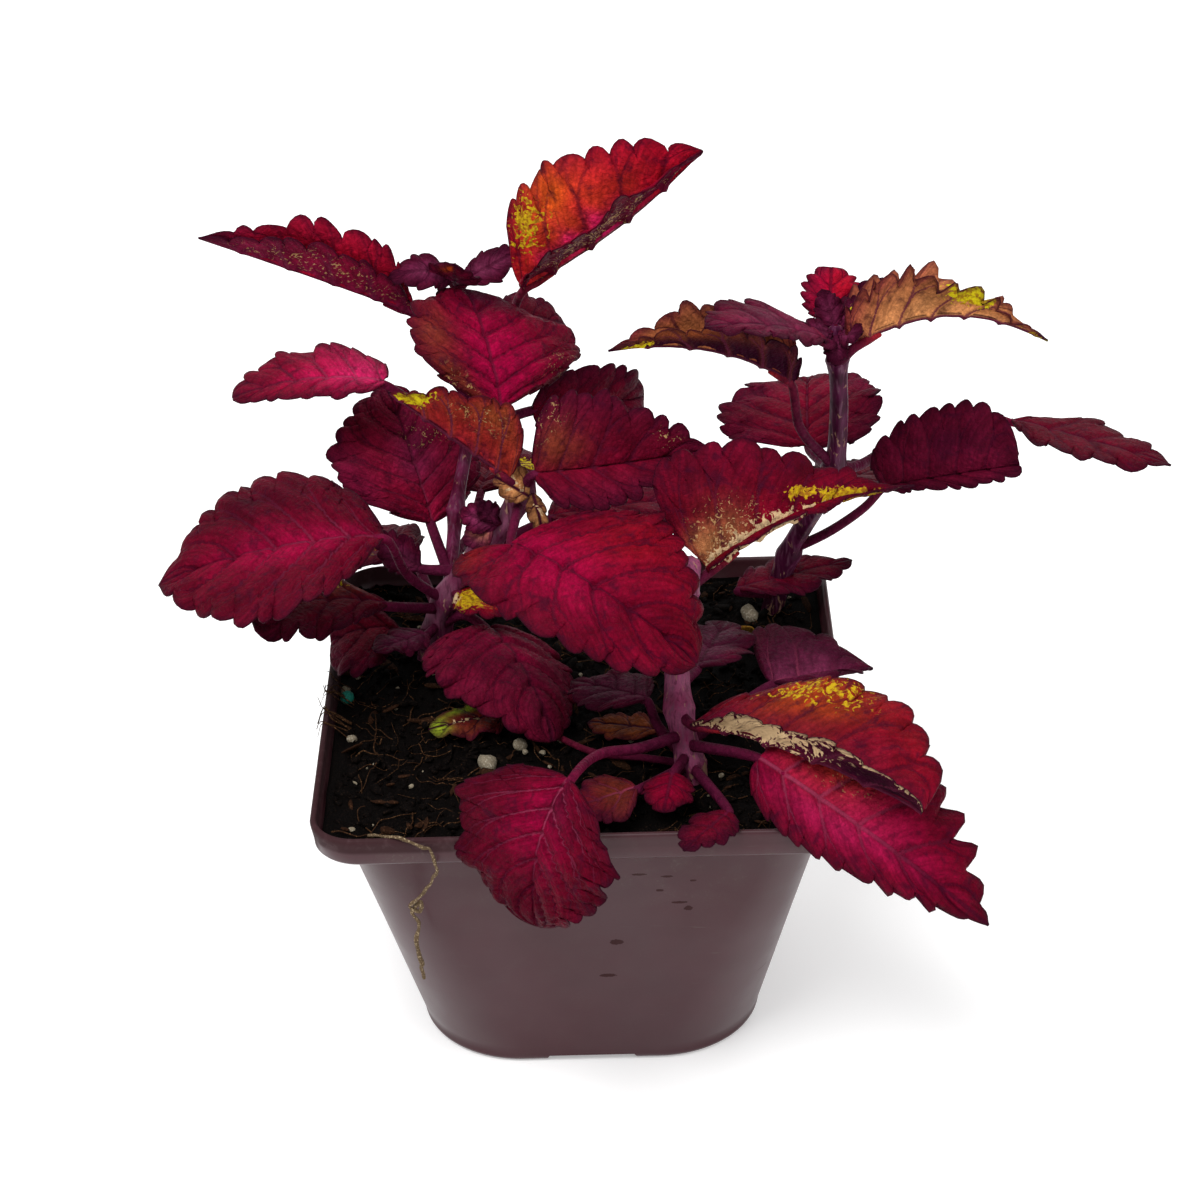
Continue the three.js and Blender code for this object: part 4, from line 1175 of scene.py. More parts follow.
RIGHT_LEAVES = (
    Leaf(Tone.BRONZE, 106, (43.5, 16.5, 128.5), (7, 5, 142), face=(0, -0.2, 1), wide=(8.5, 10.5),
        by=((45, 17, 118),), fold=(74, 63), curl=(4, 6), arch=4, shape=(0.45, 1.1), teeth=8,
        patches=(Patch(P.TAN, 0.5, 0, 0.5, 0.8, 0.6), Patch(P.DUSK, 0.5, 0, 3, 3, 1, LOWER),
        Patch(G, 0.87, -0.3, 0.07, 0.35, 1.1, BOTH),
        Patch(P.BRONZE, 0.7, -0.8, 0.3, 0.3, 1, LOWER)), light=1.3),
    Leaf(Tone.MAROON, 135, (50, 12, 139.5), (25.5, -3.5, 150.5), face=(0, -0.1, 1), wide=(5, 11.5),
        fold=(5, 9), arch=1.6, shape=(0.65, 1), patches=(
        Patch(P.MAUVE, 0.4, 0, 0.5, 0.8, 0.7, BOTH),)),
    Leaf(Tone.CRIMSON, 137, (51, 24, 138.5), (52, 32, 146), face=(0, -1, 0.3), wide=(5.5, 6),
        fold=(7, 11), ear=(2.5, 1), arch=0.7, shape=(0.5, 0.6), teeth=5, glow=0.5, patches=(
        Patch(P.SCARLET, 0.6, 0.4, 0.4, 0.6),), light=1.65, sharp=0.4),
    Leaf(Tone.BRONZE, 131, (55, 14.5, 137), (93, 10.5, 139), face=(0, 0.4, 0.8), wide=(12.5, 11),
        fold=(64, 62), curl=(9, 10), arch=5.4, shape=(0.42, 1.5), teeth=9, patches=(
        Patch(P.TAN, 0.5, 0, 1, 0.78, 1, BOTH), Patch(G, 0.6, 0.7, 0.1, 0.3, 1.3, BOTH),
        Patch(G, 0.95, 0, 0.08, 1, 0.9, BOTH), Patch(P.GARNET, 0.05, 0.3, 0.12, 0.8, 1, BOTH),
        Patch(G, 0.6, -0.7, 0.1, 0.3, 1.3, BOTH)), light=1.5, sharp=0.55, cut=(1.1, 1.1)),
    Leaf(Tone.MAROON, 105, (48, 36, 103.5), (50, 67, 104), face=(-0.1, 0, 1), wide=(18.5, 15.5),
        fold=(8, 15), curl=(12, 10), ear=(0, 6.5), arch=2.5, shape=(0.4, 0.8), teeth=8, light=1.2),
    Leaf(Tone.MAROON, 79, (63.5, 31, 96.5), (90.5, 24, 104.5), face=(0, -0.6, 0.55), wide=(15.5, 3),
        by=((52.5, 33, 85), (59.5, 32, 91)), fold=(43, 17), curl=(9, 9), ear=(13, 4), arch=0.7,
        shape=(0.6, 0.35), teeth=8, glow=0.3, patches=(Patch(P.MAROON, 0.5, 0, 2, 2, 0.7),
        Patch(P.DUSK, 0.6, -0.5, 0.2, 0.3, 0.6)), light=1.3, cut=(1.3, 1)),
    Leaf(Tone.CRIMSON, 106, (90, 37, 108), (121, 22, 104.5), face=(0, 0.15, 1), wide=(12, 9.5),
        by=((58, 31, 101.5), (66, 41, 100.5), (76, 44.5, 102.5), (85, 43, 106)), fold=(5, 6),
        curl=(10, 10), ear=(0, 3), shape=(0.9, 1.15), teeth=7, glow=0.3, patches=(
        Patch(P.GARNET, 0.5, 0, 1, 1, 0.5),), light=0.65),
    Leaf(Tone.MAROON, 68, (33, 32, 72), (58, 43, 72), wide=(7, 7), glow=0.3),
    Leaf(Tone.PLUM, 133, (54, 20, 136.5), (62, 26.5, 146), face=(-0.5, -0.8, 0.2), wide=(4.5, 4),
        teeth=4, patches=(Patch(G, 0.5, 0.5, 0.15, 0.2, 1, BOTH),)),
    Leaf(Tone.MAROON, 92, (54, 44, 90), (68, 66, 82), wide=(10, 10)),
)


def on_stem(stem: str, leaves: Sequence[Leaf]) -> list[Leaf]:
    """Names a stem's leaves for the frame, in their order up the list."""
    names = [f"leaf_{stem}_{number}" for number in range(1, len(leaves) + 1)]
    return [replace(leaf, name=name, stem=stem) for name, leaf in zip(names, leaves)]


LEAVES = (
    *on_stem("left", LEFT_LEAVES),
    *on_stem("middle", MIDDLE_LEAVES),
    *on_stem("front", FRONT_LEAVES),
    *on_stem("right", RIGHT_LEAVES),
)


@dataclass(frozen=True)
class Crown:
    """A growing tip: a bud's middle and radius, and the youngest leaves round it.

    It takes its tone's finish. Where it stands for one of the frame's nodes, it names it.
    """

    name: str
    tone: Tone
    centre: Point
    bud: float
    leaves: tuple[Leaf, ...]
    node: str = ""


LEFT_TIP = (
    Leaf(Tone.PLUM, 0, (-24.5, 37, 143.5), (-36.5, 31.5, 146.5), (0.2, -0.6, 0.8), (4, 3.8),
        arch=2.8, teeth=5, light=1.2, glow=1, cut=(0.5, 0.5), name="left"),
    Leaf(Tone.PLUM, 0, (-23.5, 36, 143), (-23, 29.5, 150), (0, -0.8, 0.6), (5.5, 5), teeth=5,
        light=1.3, glow=1, patches=(Patch(P.CRIMSON, 0.7, 0, 0.4, 1.2, 0.6),
        Patch(P.ORANGE, 0.75, -0.5, 0.15, 0.3, 1, BOTH),), name="front"),
    Leaf(Tone.PLUM, 0, (-22, 38, 143), (-10, 41.5, 148), (0, -0.6, 0.8), (3.6, 3.8), arch=-1.2,
        teeth=5, light=1.2, glow=1, cut=(0.5, 0.5), name="right"),
)
RIGHT_TIP = (
    Leaf(Tone.PLUM, 0, (51, 17, 138.5), (45.5, 12.5, 142.5), (0.2, -0.6, 0.8), (2.6, 2.6), teeth=4,
        light=1.4, glow=1, name="west"),
    Leaf(Tone.PLUM, 0, (53, 16.5, 138.5), (56.5, 10.5, 141.5), (0, -0.7, 0.7), (2.6, 2.6), teeth=4,
        light=1.4, glow=1, name="south"),
    Leaf(Tone.PLUM, 0, (52, 19, 139), (49.5, 23, 145.5), (0, -0.8, 0.5), (2.8, 2.8), teeth=4,
        light=1.3, glow=0.6, name="north"),
    Leaf(Tone.PLUM, 0, (53, 19, 139), (58.5, 22, 144.5), (-0.3, -0.7, 0.6), (2.8, 2.6), teeth=4,
        light=1.3, glow=0.6, patches=(Patch(G, 0.5, 0.2, 0.2, 0.5, 1.2, BOTH),), name="east"),
    Leaf(Tone.PLUM, 0, (52, 16.5, 138), (51.5, 11, 134.5), (0, -0.8, 0.5), (2.4, 2.4), teeth=4,
        light=1.2, glow=0.6, name="down"),
)
SIDE_BUD = (
    Leaf(Tone.PLUM, 0, (-17, 6.5, 103.5), (-23.2, 5.5, 107.4), (0.1, -0.8, 0.5), (3.2, 3),
        teeth=4, light=2.2, glow=0.8, cut=(0.7, 0.7), name="west"),
    Leaf(Tone.PLUM, 0, (-17.2, 6.2, 102.6), (-22.8, 4.6, 100.2), (0.1, -0.8, 0.6), (2.8, 3),
        teeth=4, light=2, glow=0.8, cut=(0.7, 0.7), patches=(
        Patch(P.TAN, 0.3, 0.3, 0.3, 0.7, 0.6),), name="low"),
    Leaf(Tone.PLUM, 0, (-16.4, 6, 104.6), (-19.2, 5, 109.6), (0, -0.9, 0.4), (2.2, 2.4), teeth=4,
        light=0.9, glow=0.5, cut=(0.7, 0.7), name="up"),
)
CROWNS = (
    Crown("fine_crown_left", Tone.MAROON, (-23, 38, 141.5), 2.0, LEFT_TIP, "crown_left"),
    Crown("crown_right", Tone.PLUM, (52, 18, 138.6), 1.5, RIGHT_TIP),
    Crown("side_bud", Tone.PLUM, (-16.1, 7.6, 103.4), 1.4, SIDE_BUD),
)
BRACTS = (
    Leaf(Tone.BRONZE, 0, (-9.5, 2.3, 112), (-15.8, 0.8, 117.4), (0.3, -0.9, 0.4), (3.0, 4.2),
        fold=(14, 5), curl=(5, 14), arch=0.4, teeth=3, glow=0, light=1.5, cut=(0.5, 0.5), patches=(
        Patch(P.TAN, 0.5, 0, 3, 3, 1, BOTH), Patch(C, 0.5, 0, 0.4, 0.6, 0.4, BOTH)), name="bract"),
    Leaf(Tone.BRONZE, 0, (-8.6, 2.4, 112.5), (-6.8, -1.0, 105.5), (0.2, -0.9, 0.3), (1.7, 2.3),
        fold=(10, 14), curl=(12, 10), arch=0.6, teeth=3, glow=0, light=1.3, cut=(0.5, 0.5),
        patches=(Patch(P.TAN, 0.5, 0, 3, 3, 1, BOTH), Patch(C, 0.4, 0, 0.4, 0.6, 0.4, BOTH)),
        name="scale"),
)


# ---- stems


@dataclass(frozen=True)
class Stem:
    """One stem: its path, its radii, its swollen joints' heights, and its two colours."""

    path: tuple[Point, ...]
    foot: float
    top: float
    swellings: tuple[float, ...]
    color: Point
    light: Point

    def middle(self, shares: Array) -> Array:
        """Places on the middle line."""
        return catmull_rom(self.path, shares)

    def at_height(self, height: float) -> Array:
        """The place on the middle line at one height."""
        line = self.middle(np.linspace(0, 1, 600))
        return line[int(np.argmin(np.abs(line[:, 2] - height)))]

    def skin(self, steps: int = 110, sides: int = 24) -> Skin:
        """The stem as a closed squarish surface, with a groove down each side.

        Args:
            steps: Rings along it.
            sides: Points in a ring.

        Returns:
            The surface, and what it carries for the blade pattern.
        """
        shares = np.linspace(0, 1, steps)
        path = self.middle(shares)
        heights = path[:, 2:3]
        bulge = sum(0.55 * np.exp(-(((heights - z) / 2.6) ** 2)) for z in self.swellings)
        ring = sum(0.22 * np.exp(-(((heights - z) / 0.45) ** 2)) for z in self.swellings)

        def radius(share: Array, angle: Array) -> Array:
            """The radius, squarish and with the joints' swellings."""
            size = self.foot + (self.top - self.foot) * share
            return size * (1 + 0.1 * np.cos(4 * angle) + 0.03 * np.cos(8 * angle)) + bulge + ring

        streak = 0.5 + 0.5 * np.sin(path[:, 2] * 0.9 + 2)[:, None]
        mixed = np.array(self.color) + (np.array(self.light) - np.array(self.color)) * streak
        return tube(path, radius, sides, plain_values(mixed))


STEMS = {
    "middle": Stem(
        ((-33, 21, 46), (-32, 20, 62), (-28, 18, 79), (-19, 12, 95), (-11, 6, 110), (-10, 4, 115)),
        foot=3.1, top=1.9, swellings=(70, 80, 94, 110), color=(0.1, 0.012, 0.04),
        light=(0.18, 0.05, 0.095),
    ),
    "left": Stem(
        ((-27, 18, 83), (-26, 24, 91), (-25, 27, 98), (-23, 31, 107), (-21, 36, 121),
         (-22, 38, 139.5)),
        foot=1.3, top=1.1, swellings=(96, 117), color=(0.07, 0.004, 0.02),
        light=(0.12, 0.015, 0.05),
    ),
    "front": Stem(
        ((23, -30, 46), (22, -28, 62), (19, -23, 80), (20, -16, 95), (22, -12, 104)),
        foot=2.5, top=2.0, swellings=(67, 78, 99), color=(0.17, 0.022, 0.065),
        light=(0.26, 0.06, 0.13),
    ),
    "right": Stem(
        ((37, 34, 48), (40, 36, 62), (44, 36, 78), (52, 23, 104), (53, 20, 120), (52, 18, 139)),
        foot=2.3, top=1.5, swellings=(78, 106, 132), color=(0.03, 0.002, 0.013),
        light=(0.06, 0.006, 0.03),
    ),
}
STEM_PIECES = {
    "stem_middle": ("middle", "left"), "stem_front": ("front",), "stem_right": ("right",)
}


def stalk_skin(leaf: Leaf, blade: Blade, sizes: StalkSizes) -> Skin:
    """A leaf's stalk, from the middle of its stem to a little way under its blade.

    Args:
        leaf: The leaf.
        blade: Its blade.
        sizes: What all stalks share.

    Returns:
        The surface, and what it carries for the blade pattern.
    """

    def under(u: float) -> Point:
        """A place under the midrib."""
        return tuple(blade.midrib(np.array(u)) - blade.axes(np.array(u))[1] * sizes.depth)

    root = tuple(STEMS[leaf.stem].at_height(leaf.at))
    ends = (under(0), under(sizes.runs_to / 2), under(sizes.runs_to))
    steps = 14 * (3 + len(leaf.by))
    path = catmull_rom((root, *leaf.by, *ends), np.linspace(0, 1, steps))

    def radius(share: Array, angle: Array) -> Array:
        """The radius, a little square, thinning to the end."""
        size = np.interp(share, (0, sizes.neck_at, 1), (sizes.root, sizes.neck, sizes.end))
        return leaf.slim * size * (1 + 0.06 * np.cos(2 * angle))

    tone = leaf.tone.value
    share = np.linspace(0, 1, steps)[:, None]
    start, end = np.array(tone.stalk.value), np.array(tone.heart.value)
    return tube(path, radius, sizes.sides, plain_values(start + (end - start) * share**2 * 0.6))


# ---- finishes


@dataclass(frozen=True)
class LeafFinish:
    """The skin of the leaves of one tone."""

    tone: Tone
    dark_vein: Point = (0.03, 0.002, 0.011)
    pale_vein: Point = (0.33, 0.05, 0.11)
    rim: Point = (0.013, 0.002, 0.007)
    gold: Point = (0.52, 0.42, 0.008)
    old_gold: Point = (0.26, 0.13, 0.008)
    cream: Point = (0.58, 0.4, 0.22)
    vein: float = 0.62
    roughness: float = 0.42
    gloss: float = 0.055
    gloss_tint: Point = (1.0, 0.25, 0.4)
    bump: Pair = (0.7, 0.28)

    def material(self) -> Material:
        """Builds the material."""
        fixed = {"Specular IOR Level": self.gloss, "Specular Tint": self.gloss_tint}
        return surface(self.tone.slot, self.wire, fixed, self.bump)

    def wire(self, graph: Graph) -> Feeds:
        """Feeds the mottled tint through the blade pattern.

        Args:
            graph: The material's tree.

        Returns:
            What the shader and the bump take.
        """
        tint = graph.carried("tint", "Color")
        clouds = MOTTLE.use(graph, {"Color": tint, "Cloud Scale": 0.28, "Contrast": 1.6})
        pattern = BLADE_PATTERN.use(graph, {
            "Color": clouds.outputs["Color"], "Dark Vein": self.dark_vein,
            "Pale Vein": self.pale_vein, "Rim": self.rim, "Gold": self.gold,
            "Old Gold": self.old_gold, "Cream": self.cream, "Roughness": self.roughness,
            "Vein": self.vein,
        })
        color, height, rough = (pattern.outputs[key] for key in ("Color", "Height", "Roughness"))
        return {"Base Color": color, "Roughness": rough, "Height": height}


@dataclass(frozen=True)
class StemFinish:
    """Smooth purple skin with streaks and pale scars that run along the stem."""

    streak: Point = (0.13, 0.05, 0.085)
    shade: Point = (0.018, 0.002, 0.008)
    scar: Point = (0.3, 0.17, 0.11)
    gloss: float = 0.12
    gloss_tint: Point = (1.0, 0.6, 0.8)
    bump: Pair = (0.35, 0.25)

    def material(self) -> Material:
        """Builds the material."""
        fixed = {"Specular IOR Level": self.gloss, "Specular Tint": self.gloss_tint}
        return surface("stem", self.wire, fixed, self.bump)

    def wire(self, graph: Graph) -> Feeds:
        """Streaks the tint lengthwise and breaks it with scars.

        Args:
            graph: The material's tree.

        Returns:
            What the shader and the bump take.
        """
        tint = graph.carried("tint", "Color")
        clouds = MOTTLE.use(graph, {"Color": tint, "Cloud Scale": 0.35, "Contrast": 1.9})
        lengthwise = graph.noise(graph.place((1.0, 1.0, 0.14)), 1.5, 4.0)
        streaks = graph.step(lengthwise, 0.5, 0.68, 0.0, 0.6)
        color = graph.mix(streaks, clouds.outputs["Color"], self.streak)
        color = graph.mix(graph.step(lengthwise, 0.48, 0.34, 0.0, 0.5), color, self.shade)
        spots = graph.noise(graph.place((1.0, 1.0, 0.4)), 0.8, 4.0, 0.8)
        _, _, height = graph.parts(graph.place())
        low = graph.step(height, 70.0, 65.5, 0.0, 0.1)
        scars = graph.step(graph.plus(spots, low), 0.61, 0.69, 0.0, 0.85)
        return {
            "Base Color": graph.mix(scars, color, self.scar),
            "Roughness": graph.fit(scars, 0.25, 0.38),
            "Height": graph.less(lengthwise, graph.times(scars, 0.6)),
        }


@dataclass(frozen=True)
class Scuff:
    """A small mark on the pot's front: its place and its half sizes, across and up."""

    x: float
    z: float
    wide: float
    high: float


@dataclass(frozen=True)
class PotFinish:
    """Thin maroon plastic with a satin gloss, scuffed, dusted with soil, grimy on the rim and with
    painted shade at its left.
    """

    plastic: Point = (0.042, 0.007, 0.0115)
    faded: Point = (0.05, 0.0155, 0.0205)
    scuff: Point = (0.022, 0.0005, 0.001)
    dust: Point = (0.09, 0.07, 0.06)
    # Grime on the rim's top; the same colour is also the painted shade on the pot's left side.
    grime_and_left_shade: Point = (0.022, 0.002, 0.004)
    gloss: float = 0.3
    bump: Pair = (0.25, 0.5)
    scuffs: tuple[Scuff, ...] = (
        Scuff(5.8, 35.1, 1.5, 0.8), Scuff(3.8, 25.5, 1.8, 0.5), Scuff(10.5, 54, 1.6, 0.3),
        Scuff(14.5, 49.5, 0.9, 0.35), Scuff(18.3, 46, 1.8, 0.35), Scuff(20, 44.3, 0.9, 0.7),
        Scuff(16, 53.3, 1.2, 0.3), Scuff(13, 60, 0.8, 0.3), Scuff(21, 52, 0.7, 0.3),
    )

    def material(self) -> Material:
        """Builds the material."""
        return surface("pot_plastic", self.wire, {"Specular IOR Level": self.gloss}, self.bump)

    def wire(self, graph: Graph) -> Feeds:
        """Mottles the plastic, then adds scuffs, scratches, dust, grime on the rim and painted
        shade on its left.

        Args:
            graph: The material's tree.

        Returns:
            What the shader and the bump take.
        """
        where = graph.place()
        x, _, z = graph.parts(where)
        fading = graph.step(graph.noise(where, 0.035, 3.0), 0.3, 0.7)
        base = graph.mix(fading, self.plastic, self.faded)
        clouds = MOTTLE.use(graph, {"Color": base, "Cloud Scale": 0.12, "Contrast": 0.35})
        grain = clouds.outputs["Grain"]
        marks = self.marks(graph, where, grain)
        color = graph.mix(graph.times(marks, 0.95), clouds.outputs["Color"], self.scuff)
        drag = graph.noise(graph.place((0.12, 0.12, 1.6)), 0.9, 2.0)
        scratch = graph.step(drag, 0.72, 0.78, 0.0, 0.4)
        color = graph.mix(scratch, color, self.dust)
        dust = DUST.use(graph, {"Height": 66.0, "Reach": 26.0, "Amount": 0.5}).outputs["Dust"]
        color = graph.mix(dust, color, self.dust)
        # The rim's top and the band's left side go dark, most at the left end: grime on the rim,
        # and painted shade on the left standing in for dimmer light from that side.
        top = graph.step(z, 64.4, 65.6)
        side = graph.times(graph.step(x, -50.0, -51.6), graph.step(z, 57.0, 61.0))
        grime_and_shade_mask = graph.most(top, side)
        grime_and_shade_mask = graph.times(grime_and_shade_mask, graph.step(x, 20.0, -40.0, 0.25, 0.95))
        patchy = graph.step(graph.noise(where, 0.5, 5.0, 0.6), 0.3, 0.5, 0.7, 1.0)
        darkening = graph.times(grime_and_shade_mask, patchy)
        color = graph.mix(darkening, color, self.grime_and_left_shade)
        rough = graph.fit(clouds.outputs["Cloud"], 0.16, 0.26)
        dry = graph.most(dust, scratch)
        worn = graph.most(dry, graph.most(marks, darkening))
        waves = graph.noise(where, 0.05, 1.0)
        return {
            "Base Color": color,
            "Roughness": graph.fit(worn, 0.45, rough),
            "Height": graph.fit(waves, 3.0, graph.times(grain, 0.05)),
        }

    def marks(self, graph: Graph, where: Socket, grain: Socket) -> Socket:
        """Draws the scuffs on the front.

        Args:
            graph: The material's tree.
            where: The place on the object in millimetres.
            grain: Noise that frays their edges.

        Returns:
            How strongly a scuff shows.
        """
        x, y, z = graph.parts(where)
        ragged = graph.times(graph.less(grain, 0.5), 1.6)
        marks: Feed = 0.0
        for scuff in self.scuffs:
            across = graph.math("DIVIDE", graph.less(x, scuff.x), scuff.wide)
            up = graph.math("DIVIDE", graph.less(z, scuff.z), scuff.high)
            off = graph.plus(graph.math("POWER", across, 2.0), graph.math("POWER", up, 2.0))
            mark = graph.step(graph.plus(off, ragged), 1.1, 0.7)
            marks = graph.most(marks, mark)
        return graph.times(marks, graph.math("LESS_THAN", y, 0.0))


@dataclass(frozen=True)
class EarthFinish:
    """A damp or dry crumbly material of the soil, in its own two colours."""

    name: str
    dark: Point
    light: Point
    scale: float
    roughness: float = 0.8
    relief: float = 0.3
    gloss: float = 0.04

    def material(self) -> Material:
        """Builds the material."""
        return surface(self.name, self.wire, {"Specular IOR Level": self.gloss}, (0.8, self.relief))

    def wire(self, graph: Graph) -> Feeds:
        """Mixes the two colours by grain.

        Args:
            graph: The material's tree.

        Returns:
            What the shader and the bump take.
        """
        given = {"Color": self.dark, "Cloud Scale": self.scale, "Contrast": 1.2}
        clouds = MOTTLE.use(graph, given)
        share = graph.step(clouds.outputs["Grain"], 0.5, 0.78)
        color = graph.mix(share, clouds.outputs["Color"], self.light)
        rough = graph.fit(clouds.outputs["Cloud"], 0.3, self.roughness - 0.15)
        return {"Base Color": color, "Roughness": rough, "Height": clouds.outputs["Grain"]}


PEAT = EarthFinish("peat", (0.0014, 0.0009, 0.0008), (0.007, 0.004, 0.003), 0.5)
LOOSE_PEAT = EarthFinish("loose_peat", (0.0018, 0.0011, 0.001), (0.016, 0.009, 0.006), 0.5)
BARK = EarthFinish("bark", (0.02, 0.008, 0.004), (0.07, 0.03, 0.014), 0.4)
PERLITE = EarthFinish("perlite", (0.2, 0.165, 0.115), (0.46, 0.42, 0.34), 0.7)
BEAD_COAT = EarthFinish("bead_coat", (0.01, 0.12, 0.09), (0.03, 0.25, 0.18), 0.8, 0.45, 0.1)
STRAW = EarthFinish("straw", (0.03, 0.013, 0.006), (0.2, 0.1, 0.045), 0.3)
ROOT_SKIN = EarthFinish("root_skin", (0.1, 0.066, 0.038), (0.46, 0.36, 0.22), 0.4)
WITHERED_LEAF = EarthFinish("withered_leaf", (0.3, 0.14, 0.02), (0.5, 0.3, 0.05), 0.4)


# ---- the parts


def keep(piece: Thing, slot: str, material: Material, *nodes: str) -> None:
    """Dresses a piece, puts it on the body, and hides the nodes that it stands for.

    Args:
        piece: The piece.
        slot: Its material slot in the record. Not used.
        material: Its finish.
        *nodes: The frame's nodes that it stands for.
    """
    piece.data.materials.append(material)
    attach(piece, BODY)
    if nodes:
        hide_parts(*nodes)
    log.info("%s: %d faces", piece.name, len(piece.data.polygons))


@dataclass
class Foliage:
    """All the leaves, the growing tips, the withered bracts and the stems."""

    blade: BladeSizes = BladeSizes()
    paper: BladeSizes = BladeSizes(ruffle=0.25, quilt=0.12, groove=0.12, rib=0.15)
    stalk: StalkSizes = StalkSizes()
    bud_rings: int = 12
    bud_sides: int = 12
    neck_rings: int = 20
    neck_sides: int = 10

    def build(self) -> None:
        """Builds each leaf, the growing tips, the withered bracts and each stem."""
        kinds = [LeafFinish(tone) for tone in (Tone.CRIMSON, Tone.MAROON, Tone.PLUM)]
        kinds.append(LeafFinish(Tone.BRONZE, dark_vein=(0.02, 0.001, 0.008), vein=1.0))
        kinds.append(LeafFinish(Tone.EMBER, gold=(0.46, 0.3, 0.008), old_gold=(0.25, 0.1, 0.008)))
        finishes = {kind.tone: kind.material() for kind in kinds}
        for leaf in LEAVES:
            blade = Blade(leaf, self.blade)
            skin = Skin.joined([blade.skin(), stalk_skin(leaf, blade, self.stalk)])
            piece = skin.to_object("fine_" + leaf.name)
            keep(piece, leaf.tone.slot, finishes[leaf.tone], leaf.name)
        for crown in CROWNS:
            nodes = (crown.node,) if crown.node else ()
            keep(self.tip(crown), crown.tone.slot, finishes[crown.tone], *nodes)
        bracts = Skin.joined([Blade(leaf, self.paper).skin() for leaf in BRACTS])
        keep(bracts.to_object("withered_bracts"), Tone.BRONZE.slot, finishes[Tone.BRONZE])
        skin_of_stems = StemFinish().material()
        for name, stems in STEM_PIECES.items():
            piece = Skin.joined([STEMS[stem].skin() for stem in stems]).to_object("fine_" + name)
            keep(piece, "stem", skin_of_stems, name)

    def tip(self, crown: Crown) -> Thing:
        """A bud with its youngest leaves.

        Args:
            crown: The growing tip.

        Returns:
            The piece.
        """
        rise = np.linspace(-0.6, 0.8, self.bud_rings)[:, None] * crown.bud
        path = np.array(crown.centre, float) + rise * np.array((0.0, 0.0, 1.0))
        skin = plain_values(np.tile(Pigment.MAROON.value, (self.bud_rings, 1)))
        skins = [tube(path, lambda s, a: crown.bud * np.sin(0.35 + 2.4 * s), self.bud_sides, skin)]
        for leaf in crown.leaves:
            blade = Blade(leaf, self.blade)
            ends = (tuple(blade.midrib(np.array(0.0))), tuple(blade.midrib(np.array(0.3))))
            path = catmull_rom((crown.centre, *ends), np.linspace(0, 1, self.neck_rings))
            skin = plain_values(np.tile(Pigment.PLUM.value, (self.neck_rings, 1)))
            neck = tube(path, lambda s, a: 0.9 - 0.6 * s + 0 * a, self.neck_sides, skin)
            skins += [blade.skin(), neck]
        return Skin.joined(skins).to_object(crown.name)


def square_ring(half: float, corner: float, z: float, count: int, flat: float = 0.14) -> Array:
    """One level ring of a square with round corners, anticlockwise from the right.

    Args:
        half: Half the square's width.
        corner: Radius of its corners.
        z: Its height.
        count: Points in it.
        flat: Share of a quarter's points on each half side, with the rest on the corner.

    Returns:
        One point in each row.
    """
    quarters = 4 * (np.arange(count) + 0.5) / count
    turn = quarters % 1
    straight = half - corner
    bend = np.clip((turn - flat) / (1 - 2 * flat), 0, 1) * math.pi / 2
    along = np.minimum(turn / flat, 1) * straight
    back = np.maximum((turn - 1 + flat) / flat, 0) * straight
    x = straight + corner * np.cos(bend) - back
    y = along + corner * np.sin(bend)
    angle = np.floor(quarters) * math.pi / 2
    spots = (x * np.cos(angle) - y * np.sin(angle), x * np.sin(angle) + y * np.cos(angle))
    return np.stack([*spots, np.full(count, float(z))], 1)


def capped(rings: list[Array]) -> Skin:
    """Joins rings into one closed surface with a point in the middle of each end.

    Args:
        rings: The rings in order, with as many points in each.

    Returns:
        The surface.
    """
    count = len(rings[0])
    points = np.vstack([*rings, rings[0].mean(0), rings[-1].mean(0)])
    faces = grid_faces(len(rings), count, closed=True).tolist()
    total = len(rings) * count
    last = total - count
    for k in range(count):
        after = (k + 1) % count
        faces.append([after, k, total])
        faces.append([last + k, last + after, total + 1])
    return Skin(points, faces, {})


